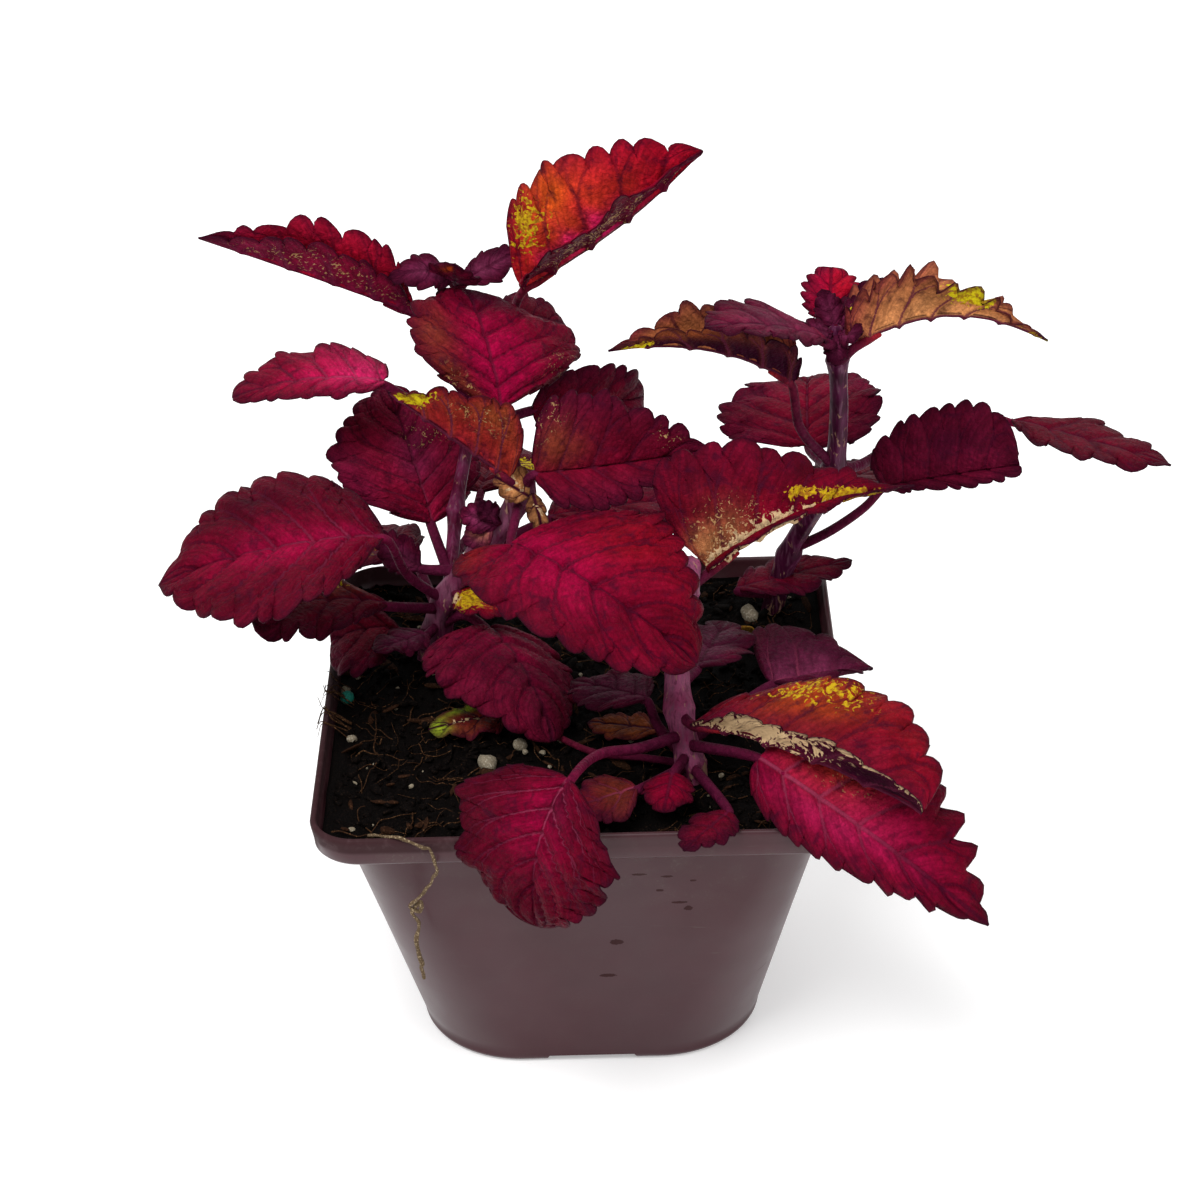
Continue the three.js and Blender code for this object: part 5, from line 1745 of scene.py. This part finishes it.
@dataclass
class Pot:
    """The square nursery pot, in millimetres.

    Attributes:
        band_height: Height of the upright band under the lip.
        band_recess: How far the body stands in from the rim, under the band.
        heel: Radius of the edge round the underside.
        foot: The slot in each side's foot: how long, deep and high.
        foot_slope: What the slot's mouth and its top add to its length.
        drain: A drain hole's radius, and its distance from the middle.
        under_band: The outline under the band: out from the body's top and up from the band.
        band: The outline up the band: out from the rim and up from the band's lower edge.
        lip: The outline over the lip: out from the rim and up from the lip.
    """

    rim_half: float = 52.5
    height: float = 68.3
    band_height: float = 6.1
    band_recess: float = 5.4
    base_half: float = 35.2
    wall: float = 1.3
    floor: float = 1.8
    rim_corner: float = 9
    body_corner: float = 10
    waist_corner: float = 16
    base_corner: float = 22
    waist: float = 34
    heel: float = 2
    points: int = 192
    foot: Point = (18, 12, 1.6)
    foot_slope: Pair = (2.4, -0.6)
    drain: Pair = (3.2, 21)
    under_band: tuple[Pair, ...] = ((0.05, -0.4), (0.4, -0.05), (1, 0.0))
    band: tuple[Pair, ...] = ((-1.4, 0.0), (-0.85, 0.12), (-0.6, 0.55), (-0.45, 2.2))
    lip: tuple[Pair, ...] = ((-0.1, -1.6), (0, -0.8), (-0.1, -0.3), (-0.4, -0.02))

    @property
    def band_bottom(self) -> float:
        """Height of the step under the band."""
        return self.height - self.band_height

    @property
    def body_top(self) -> float:
        """Half width of the body under the band."""
        return self.rim_half - self.band_recess

    def half_at(self, z: float) -> float:
        """Half width of the body at a height."""
        return float(np.interp(z, (self.heel, self.band_bottom), (self.base_half, self.body_top)))

    def corner_at(self, z: float) -> float:
        """Radius of the body's corners.

        Args:
            z: A height.

        Returns:
            The radius there.
        """
        levels = (0, self.heel, self.waist, self.band_bottom)
        radii = (self.base_corner - 2, self.base_corner, self.waist_corner, self.body_corner)
        return float(np.interp(z, levels, radii))

    def outside(self) -> list[Point]:
        """The outside, from the underside to the lip.

        Returns:
            Its levels: half width, radius of the corners, and height.
        """
        levels = []
        flat = self.base_half - self.heel
        for share in (0.25, 0.6, 0.9):
            levels.append((share * flat, share * (self.base_corner - 2), 0.0))
        for angle in np.linspace(0, math.pi / 2, 8):
            z = self.heel * (1 - math.cos(angle))
            levels.append((flat + self.heel * math.sin(angle), self.corner_at(z), z))
        for z in np.linspace(self.heel, self.band_bottom - 1, 26)[1:]:
            levels.append((self.half_at(z), self.corner_at(z), float(z)))
        top, rim, bottom = self.body_top, self.rim_half, self.band_bottom
        levels += [(top + out, self.body_corner, bottom + up) for out, up in self.under_band]
        levels += [(rim + out, self.rim_corner, bottom + up) for out, up in self.band]
        levels += [(rim + out, self.rim_corner, self.height + up) for out, up in self.lip]
        return levels

    def inside(self) -> list[Point]:
        """The inside, from the lip down to the floor.

        Returns:
            Its levels: half width, radius of the corners, and height.
        """
        wall, rim = self.wall, self.rim_half
        corner = self.rim_corner - wall
        shelf = self.band_bottom + wall
        levels = [
            (rim - 0.9, corner + 0.5, self.height - 0.02),
            (rim - wall + 0.1, corner + 0.1, self.height - 0.3),
            (rim - wall, corner, self.height - 0.8),
            (rim - wall - 0.35, corner, shelf + 0.4),
            (rim - wall - 0.8, corner, shelf),
            (self.body_top - wall + 0.5, self.body_corner - wall, shelf),
            (self.body_top - wall, self.body_corner - wall, shelf - 0.5),
        ]
        for z in np.linspace(shelf - 2, self.heel + 1, 18):
            levels.append((self.half_at(z) - wall, self.corner_at(z) - wall, float(z)))
        levels.append((self.base_half - self.heel, self.base_corner - 2, self.floor))
        levels.append((0.4 * self.base_half, 0.4 * self.base_corner, self.floor))
        return levels

    def build(self) -> None:
        """Builds the pot, cuts its foot slots and drains, and dresses it."""
        rings = [square_ring(*level, self.points) for level in self.outside() + self.inside()]
        piece = capped(rings).to_object("fine_pot")
        for side in range(4):
            turn = Matrix.Rotation(side * math.pi / 2, 4, "Z")
            self.cut(piece, self.slot_tool(), turn)
            self.cut(piece, self.drain_tool(), turn @ Matrix.Rotation(math.pi / 4, 4, "Z"))
        piece.data.shade_smooth()
        piece.data.set_sharp_from_angle(angle=math.radians(50))
        keep(piece, "pot_plastic", PotFinish().material(), "pot")

    def slot_tool(self) -> bmesh.types.BMesh:
        """The slot in the middle of the front foot, with sloped ends.

        Returns:
            The shape to cut out.
        """
        wide, deep, high = self.foot
        tool = bmesh.new()
        bmesh.ops.create_cube(tool, size=1)
        for vert in tool.verts:
            x, y, z = vert.co
            spread = wide + self.foot_slope[0 if z < 0 else 1]
            vert.co = Vector((x * spread, y * 2 * deep - self.base_half, z * 2 * high)) * MM
        return tool

    def drain_tool(self) -> bmesh.types.BMesh:
        """One drain hole.

        Returns:
            The shape to cut out.
        """
        radius, distance = (size * MM for size in self.drain)
        tool = bmesh.new()
        bmesh.ops.create_cone(
            tool, cap_ends=True, segments=40, radius1=radius, radius2=radius, depth=8 * MM
        )
        bmesh.ops.translate(tool, verts=tool.verts, vec=(distance, 0, 0))
        return tool

    def cut(self, piece: Thing, shape: bmesh.types.BMesh, turn: Matrix) -> None:
        """Cuts a shape out of the piece.

        Args:
            piece: The piece, whose mesh is replaced.
            shape: The shape, which is used up.
            turn: How the shape is turned first.
        """
        bmesh.ops.transform(shape, matrix=turn, verts=shape.verts)
        mesh = bpy.data.meshes.new("cutter")
        shape.to_mesh(mesh)
        shape.free()
        cutter = linked("cutter", mesh)
        boolean = piece.modifiers.new("cut", "BOOLEAN")
        boolean.object = cutter
        boolean.operation = "DIFFERENCE"
        boolean.solver = "EXACT"
        graph = bpy.context.evaluated_depsgraph_get()
        result = bpy.data.meshes.new_from_object(piece.evaluated_get(graph))
        piece.modifiers.clear()
        piece.data = result
        bpy.data.objects.remove(cutter)


class Lumps:
    """Small closed bits of many sizes, gathered into one surface."""

    def __init__(self, seed: int) -> None:
        """Starts with no bits, its own random numbers and two balls.

        Args:
            seed: Where its random numbers start.
        """
        self.random = np.random.default_rng(seed)
        self.skins: list[Skin] = []
        self.coarse, self.fine = self.ball(1), self.ball(2)

    @staticmethod
    def ball(level: int) -> tuple[Array, list[list[int]]]:
        """A ball with a radius of 1.

        Args:
            level: How finely it is divided.

        Returns:
            Its points and its faces.
        """
        shape = bmesh.new()
        bmesh.ops.create_icosphere(shape, subdivisions=level, radius=1)
        points = np.array([vert.co for vert in shape.verts])
        faces = [[vert.index for vert in face.verts] for face in shape.faces]
        shape.free()
        return points, faces

    def add(self, where: Array, sizes: Point, rough: float, fine: bool = False) -> Lumps:
        """Adds one bit.

        Args:
            where: Its middle.
            sizes: Its half sizes along its own three axes.
            rough: How far its points stray, as a share of its size.
            fine: Whether it has many faces.

        Returns:
            These bits.
        """
        points, faces = self.fine if fine else self.coarse
        waves = self.random.normal(size=(3, 3)) * 1.6
        shifts = self.random.uniform(0, 6, 3)
        stray = 1 + rough * np.sin(points @ waves + shifts).sum(1) / 1.8
        shaped = points * stray[:, None] * np.array(sizes)
        x, y, z = self.random.uniform(0, 2 * math.pi, 3) * np.array((0.12, 0.12, 1))
        turn = Matrix.Rotation(z, 3, "Z") @ Matrix.Rotation(x, 3, "X") @ Matrix.Rotation(y, 3, "Y")
        self.skins.append(Skin(shaped @ np.array(turn).T + where, faces, {}))
        return self

    def to_object(self, name: str) -> Thing:
        """Makes one mesh object of all the bits."""
        return Skin.joined(self.skins).to_object(name)


@dataclass
class Soil:
    """The peat in the pot, with its crumbs, bark, fibres, perlite and fertiliser bead."""

    pot: Pot
    bottom: float = 2.1
    level: float = 64.2
    relief: float = 1.1
    gap: float = 0.36
    rings: int = 72
    points: int = 224
    reach: float = 48.5
    crumb_count: int = 4200
    bark_count: int = 150
    perlite_count: int = 70
    fibre_count: int = 260
    rim_fibre_count: int = 12
    stones: tuple[Point, ...] = (
        (-19, -22.5, 2.4), (-12.6, -17, 1.7), (35.6, 32.9, 2.2), (-49, 7, 1.2), (-46.5, -12, 1.1)
    )
    bead_at: Pair = (-48.4, 3)
    bead_sizes: Point = (1.5, 1.5, 1.4)
    scrap_at: Pair = (33.5, 26.5)
    scrap_sizes: Point = (4.2, 2.0, 0.35)

    def height(self, x: Array, y: Array) -> Array:
        """Height of the soil's surface without its grain.

        Args:
            x, y: Places on the soil.

        Returns:
            The height at each of them.
        """
        swell = np.sin(x * 0.21 + 1.3) * np.cos(y * 0.17) + 0.6 * np.sin(x * 0.47 - y * 0.39)
        grain = 0.5 * np.sin(x * 1.13 + y * 0.71) * np.sin(y * 1.37 - x * 0.29)
        return self.level + self.relief * (0.45 * swell + grain)

    def bed(self) -> Thing:
        """The bed of peat.

        Returns:
            The piece, a closed body.
        """
        pot = self.pot
        inset = pot.wall + self.gap
        shelf = pot.band_bottom + pot.wall + 0.3
        levels = [(pot.base_half - pot.heel - self.gap, pot.base_corner - 2, self.bottom)]
        for z in (pot.heel + 1, pot.waist, shelf - 0.05):
            levels.append((pot.half_at(z) - inset, pot.corner_at(z) - inset, z))
        levels.append((pot.rim_half - inset - 0.4, pot.rim_corner - inset, shelf))
        rings = [square_ring(*level, self.points) for level in levels]
        random = np.random.default_rng(seed=5)
        half = pot.rim_half - inset - 0.45
        for share in np.linspace(1, 0.01, self.rings):
            ring = square_ring(half * share, (pot.rim_corner - pot.wall) * share, 0, self.points)
            x, y = ring[:, 0], ring[:, 1]
            lumps = 0.35 * np.sin(x * 2.3 + y * 1.1) * np.sin(y * 2.9 - x)
            loose = random.normal(0, 0.16, self.points) * min(1, share * 3)
            ring[:, 2] = np.maximum(self.height(x, y) + lumps + loose, shelf + 0.3)
            rings.append(ring)
        return capped(rings).to_object("fine_soil")

    def above(self, x: float, y: float, lift: float) -> Array:
        """The place that lies so far above the soil's surface."""
        return np.array((x, y, float(self.height(x, y)) + lift))

    def scatter(self, random: np.random.Generator, lift: float) -> Array:
        """A random place on the soil."""
        x, y = random.uniform(-self.reach, self.reach, 2)
        return self.above(x, y, lift)

    def crumbs(self) -> Thing:
        """Peat crumbs all over the bed.

        Returns:
            The piece.
        """
        lumps = Lumps(seed=21)
        for _ in range(self.crumb_count):
            size = 0.2 + 0.9 * lumps.random.random() ** 3.5
            flat = lumps.random.uniform(0.45, 0.9)
            long = lumps.random.uniform(0.9, 2.2)
            where = self.scatter(lumps.random, 0.3 * size)
            lumps.add(where, (size * long, size, size * flat), 0.45, size > 0.75)
        return lumps.to_object("crumbs")

    def bark(self) -> Thing:
        """Flakes of bark and bits of twig.

        Returns:
            The piece.
        """
        lumps = Lumps(seed=22)
        for _ in range(self.bark_count):
            long = lumps.random.uniform(0.9, 3.2)
            wide = long * lumps.random.uniform(0.15, 0.55)
            lumps.add(self.scatter(lumps.random, 0.5), (long, wide, 0.35), 0.25, True)
        return lumps.to_object("bark_bits")

    def perlite(self) -> Thing:
        """White perlite and pale pebbles: the large ones have their own places.

        Returns:
            The piece.
        """
        lumps = Lumps(seed=23)
        for x, y, size in self.stones:
            sizes = (size, 0.85 * size, 0.8 * size)
            lumps.add(self.above(x, y, 0.5 * size), sizes, 0.16, True)
        for _ in range(self.perlite_count):
            size = lumps.random.uniform(0.25, 0.75)
            lumps.add(self.scatter(lumps.random, 0.4), (size, size, 0.8 * size), 0.25, True)
        return lumps.to_object("perlite")

    def bead(self) -> Thing:
        """One teal bead of slow fertiliser at the left edge."""
        spot = self.above(*self.bead_at, 1.0)
        return Lumps(seed=24).add(spot, self.bead_sizes, 0.03, True).to_object("fertiliser_bead")

    def scrap(self) -> Thing:
        """A withered yellow scrap of leaf at the right, lying on the soil."""
        spot = self.above(*self.scrap_at, 1.2)
        return Lumps(seed=27).add(spot, self.scrap_sizes, 0.25, True).to_object("leaf_scrap")

    def fibres(self) -> Thing:
        """Thin roots and straw that lie on the soil, and a few that cross the left rim.

        Returns:
            The piece.
        """
        random = np.random.default_rng(seed=25)
        skins = []
        for _ in range(self.fibre_count):
            start = self.scatter(random, 0)
            heading = random.uniform(0, 2 * math.pi)
            bend = random.uniform(-0.35, 0.35)
            spots = []
            for _ in range(7):
                spots.append(self.above(start[0], start[1], random.uniform(0.2, 1.3)))
                heading += bend + random.uniform(-0.3, 0.3)
                stride = random.uniform(0.8, 2.4)
                start = start + stride * np.array((math.cos(heading), math.sin(heading), 0))
                start[:2] = np.clip(start[:2], -self.reach, self.reach)
            skins.append(self.fibre(spots, random.uniform(0.06, 0.17), 24))
        edge, top = -self.pot.rim_half, self.pot.height
        for _ in range(self.rim_fibre_count):
            y, out, drop = random.normal(0, 6), random.uniform(0.3, 1.5), random.uniform(-3, 0.4)
            spots = [(edge + 5.5, y, self.level + 0.8)]
            spots.append((edge + 2, y + random.normal(0, 1), top - 0.6))
            spots.append((edge + 0.2, y + random.normal(0, 1.5), top + 0.25))
            spots.append((edge - out, y + random.normal(0, 2.5), top + drop))
            skins.append(self.fibre(spots, random.uniform(0.08, 0.18), 20))
        return Skin.joined(skins).to_object("fibres")

    def fibre(self, spots: Sequence[Point], size: float, rings: int) -> Skin:
        """A fibre through some places, which thins to half of its first radius."""
        path = catmull_rom(spots, np.linspace(0, 1, rings))
        return tube(path, lambda share, angle: size * (1 - 0.5 * share) + 0 * angle, 6, {})

    def stray_root(self) -> Thing:
        """The root that has grown out over the front rim and hangs down the band.

        Returns:
            The piece.
        """
        front = -self.pot.rim_half
        path = (
            (-41, front + 6.5, 65.2), (-38, front + 2.6, 67.4), (-35.6, front + 0.3, 69),
            (-31.8, front - 0.8, 67.9), (-29, front - 0.9, 66.1), (-28.1, front - 0.9, 62.3),
            (-29.2, front + 0.2, 58.2), (-31.9, front + 1.2, 54), (-33.8, front + 1.7, 51.6),
            (-32.0, front + 2.2, 49.8), (-31.8, front + 2.2, 52.2), (-33.6, front + 2.4, 49.5),
            (-32.3, front + 2.6, 46.8), (-33.2, front + 3.4, 42.2), (-32.6, front + 4.4, 36),
            (-32.3, front + 5.4, 31.4),
        )
        line = catmull_rom(path, np.linspace(0, 1, 190))
        kinks = np.random.default_rng(seed=26).normal(0, 0.11, (48, 3))
        shares, spots = (np.linspace(0, 1, len(points)) for points in (line, kinks))
        line += np.stack([np.interp(shares, spots, way) for way in kinks.T], 1)
        return tube(line, self.root_radius, 8, {}).to_object("stray_root")

    def root_radius(self, share: Array, angle: Array) -> Array:
        """The stray root's radius: thin, knotted past its middle, a little thicker below.

        Args:
            share: Places along it, from 0 to 1.
            angle: Places round it.

        Returns:
            The radii.
        """
        knot = 0.16 * np.exp(-(((share - 0.66) / 0.07) ** 2)) + 0.14 * smoothstep(0.78, 0.9, share)
        end = 0.15 * smoothstep(0.95, 1, share)
        return 0.32 + knot + 0.06 * np.sin(share * 90) + 0 * angle - end

    def build(self) -> None:
        """Builds and dresses the bed and everything on it."""
        keep(self.bed(), "soil", PEAT.material(), "soil")
        keep(self.crumbs(), "soil", LOOSE_PEAT.material())
        keep(self.bark(), "soil", BARK.material())
        keep(self.perlite(), "soil", PERLITE.material())
        keep(self.bead(), "soil", BEAD_COAT.material())
        keep(self.fibres(), "soil", STRAW.material())
        keep(self.stray_root(), "soil", ROOT_SKIN.material())
        keep(self.scrap(), "soil", WITHERED_LEAF.material())


# ---- camera and light


@dataclass
class Studio:
    """The camera, the pale floor and the soft lights.

    The camera's angles are in degrees, and its distance, lens and target in millimetres. The
    floor's side and the lamps' aim are in metres. The glow and the light around are strengths.
    """

    azimuth: float = 0.62
    elevation: float = 30.62
    roll: float = -1.75
    distance: float = 634
    lens: float = 94.86
    target: Point = (4.1, 0, 89.1)
    floor_side: float = 8.0
    floor_color: Point = (0.8, 0.8, 0.8)
    floor_glow: float = 0.3
    white: Point = (1, 1, 1)
    around: float = 0.62
    aim: Point = (0, 0, 0.1)

    def build(self) -> None:
        """Builds all three, and leaves colours as they are."""
        self.camera()
        self.floor()
        self.lights()
        bpy.context.scene.view_settings.view_transform = "Standard"

    def camera(self) -> None:
        """Stands the camera where it looks down on the plant from the front."""
        angles = (self.azimuth, self.elevation, self.roll)
        turn, lift, roll = (math.radians(angle) for angle in angles)
        flat = math.cos(lift)
        back = Vector((math.sin(turn) * flat, -math.cos(turn) * flat, math.sin(lift)))
        level = back.cross(Vector((0, 0, -1))).normalized()
        above = back.cross(level)
        right = level * math.cos(roll) + above * math.sin(roll)
        up = above * math.cos(roll) - level * math.sin(roll)
        data = bpy.data.cameras.new("camera")
        data.lens = self.lens
        data.clip_end = 100
        place = (Vector(self.target) + back * self.distance) * MM
        camera = linked("camera", data)
        camera.matrix_world = (
            Matrix.Translation(place) @ Matrix((right, up, back)).transposed().to_4x4()
        )
        bpy.context.scene.camera = camera

    def floor(self) -> None:
        """Lays a plain pale floor, which gives off a little light so that shadows stay pale."""
        half = self.floor_side / 2
        corners = [(-half, -half, 0), (half, -half, 0), (half, half, 0), (-half, half, 0)]
        mesh = bpy.data.meshes.new("floor")
        mesh.from_pydata(corners, [], [(0, 1, 2, 3)])
        floor = linked("floor", mesh)
        pale = bpy.data.materials.new("floor")
        pale.use_nodes = True
        shader = pale.node_tree.nodes["Principled BSDF"]
        shader.inputs["Base Color"].default_value = (*self.floor_color, 1)
        shader.inputs["Roughness"].default_value = 0.9
        shader.inputs["Emission Color"].default_value = (*self.white, 1)
        shader.inputs["Emission Strength"].default_value = self.floor_glow
        mesh.materials.append(pale)

    def lights(self) -> None:
        """Hangs the soft lights and sets the even light all round."""
        for name, place, size, power in (
            ("key", (-0.5, -0.7, 1.7), 0.9, 30.0),
            ("fill", (1.1, -0.7, 1.0), 1.2, 6.0),
            ("back", (0.2, 1.3, 1.3), 1.4, 8.0),
        ):
            data = bpy.data.lights.new(name, "AREA")
            data.size = size
            data.energy = power
            light = linked(name, data)
            light.location = place
            beam = Vector(self.aim) - Vector(place)
            light.rotation_euler = beam.to_track_quat("-Z", "Y").to_euler()
        world = bpy.data.worlds.new("studio")
        world.use_nodes = True
        background = world.node_tree.nodes["Background"]
        background.inputs["Color"].default_value = (*self.white, 1)
        background.inputs["Strength"].default_value = self.around
        bpy.context.scene.world = world


def main() -> None:
    """Builds the part round its frame."""
    logging.basicConfig(level=logging.INFO, format="%(message)s")
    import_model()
    Studio().build()
    pot = Pot()
    pot.build()
    Soil(pot).build()
    Foliage().build()


if __name__ == "__main__":
    main()
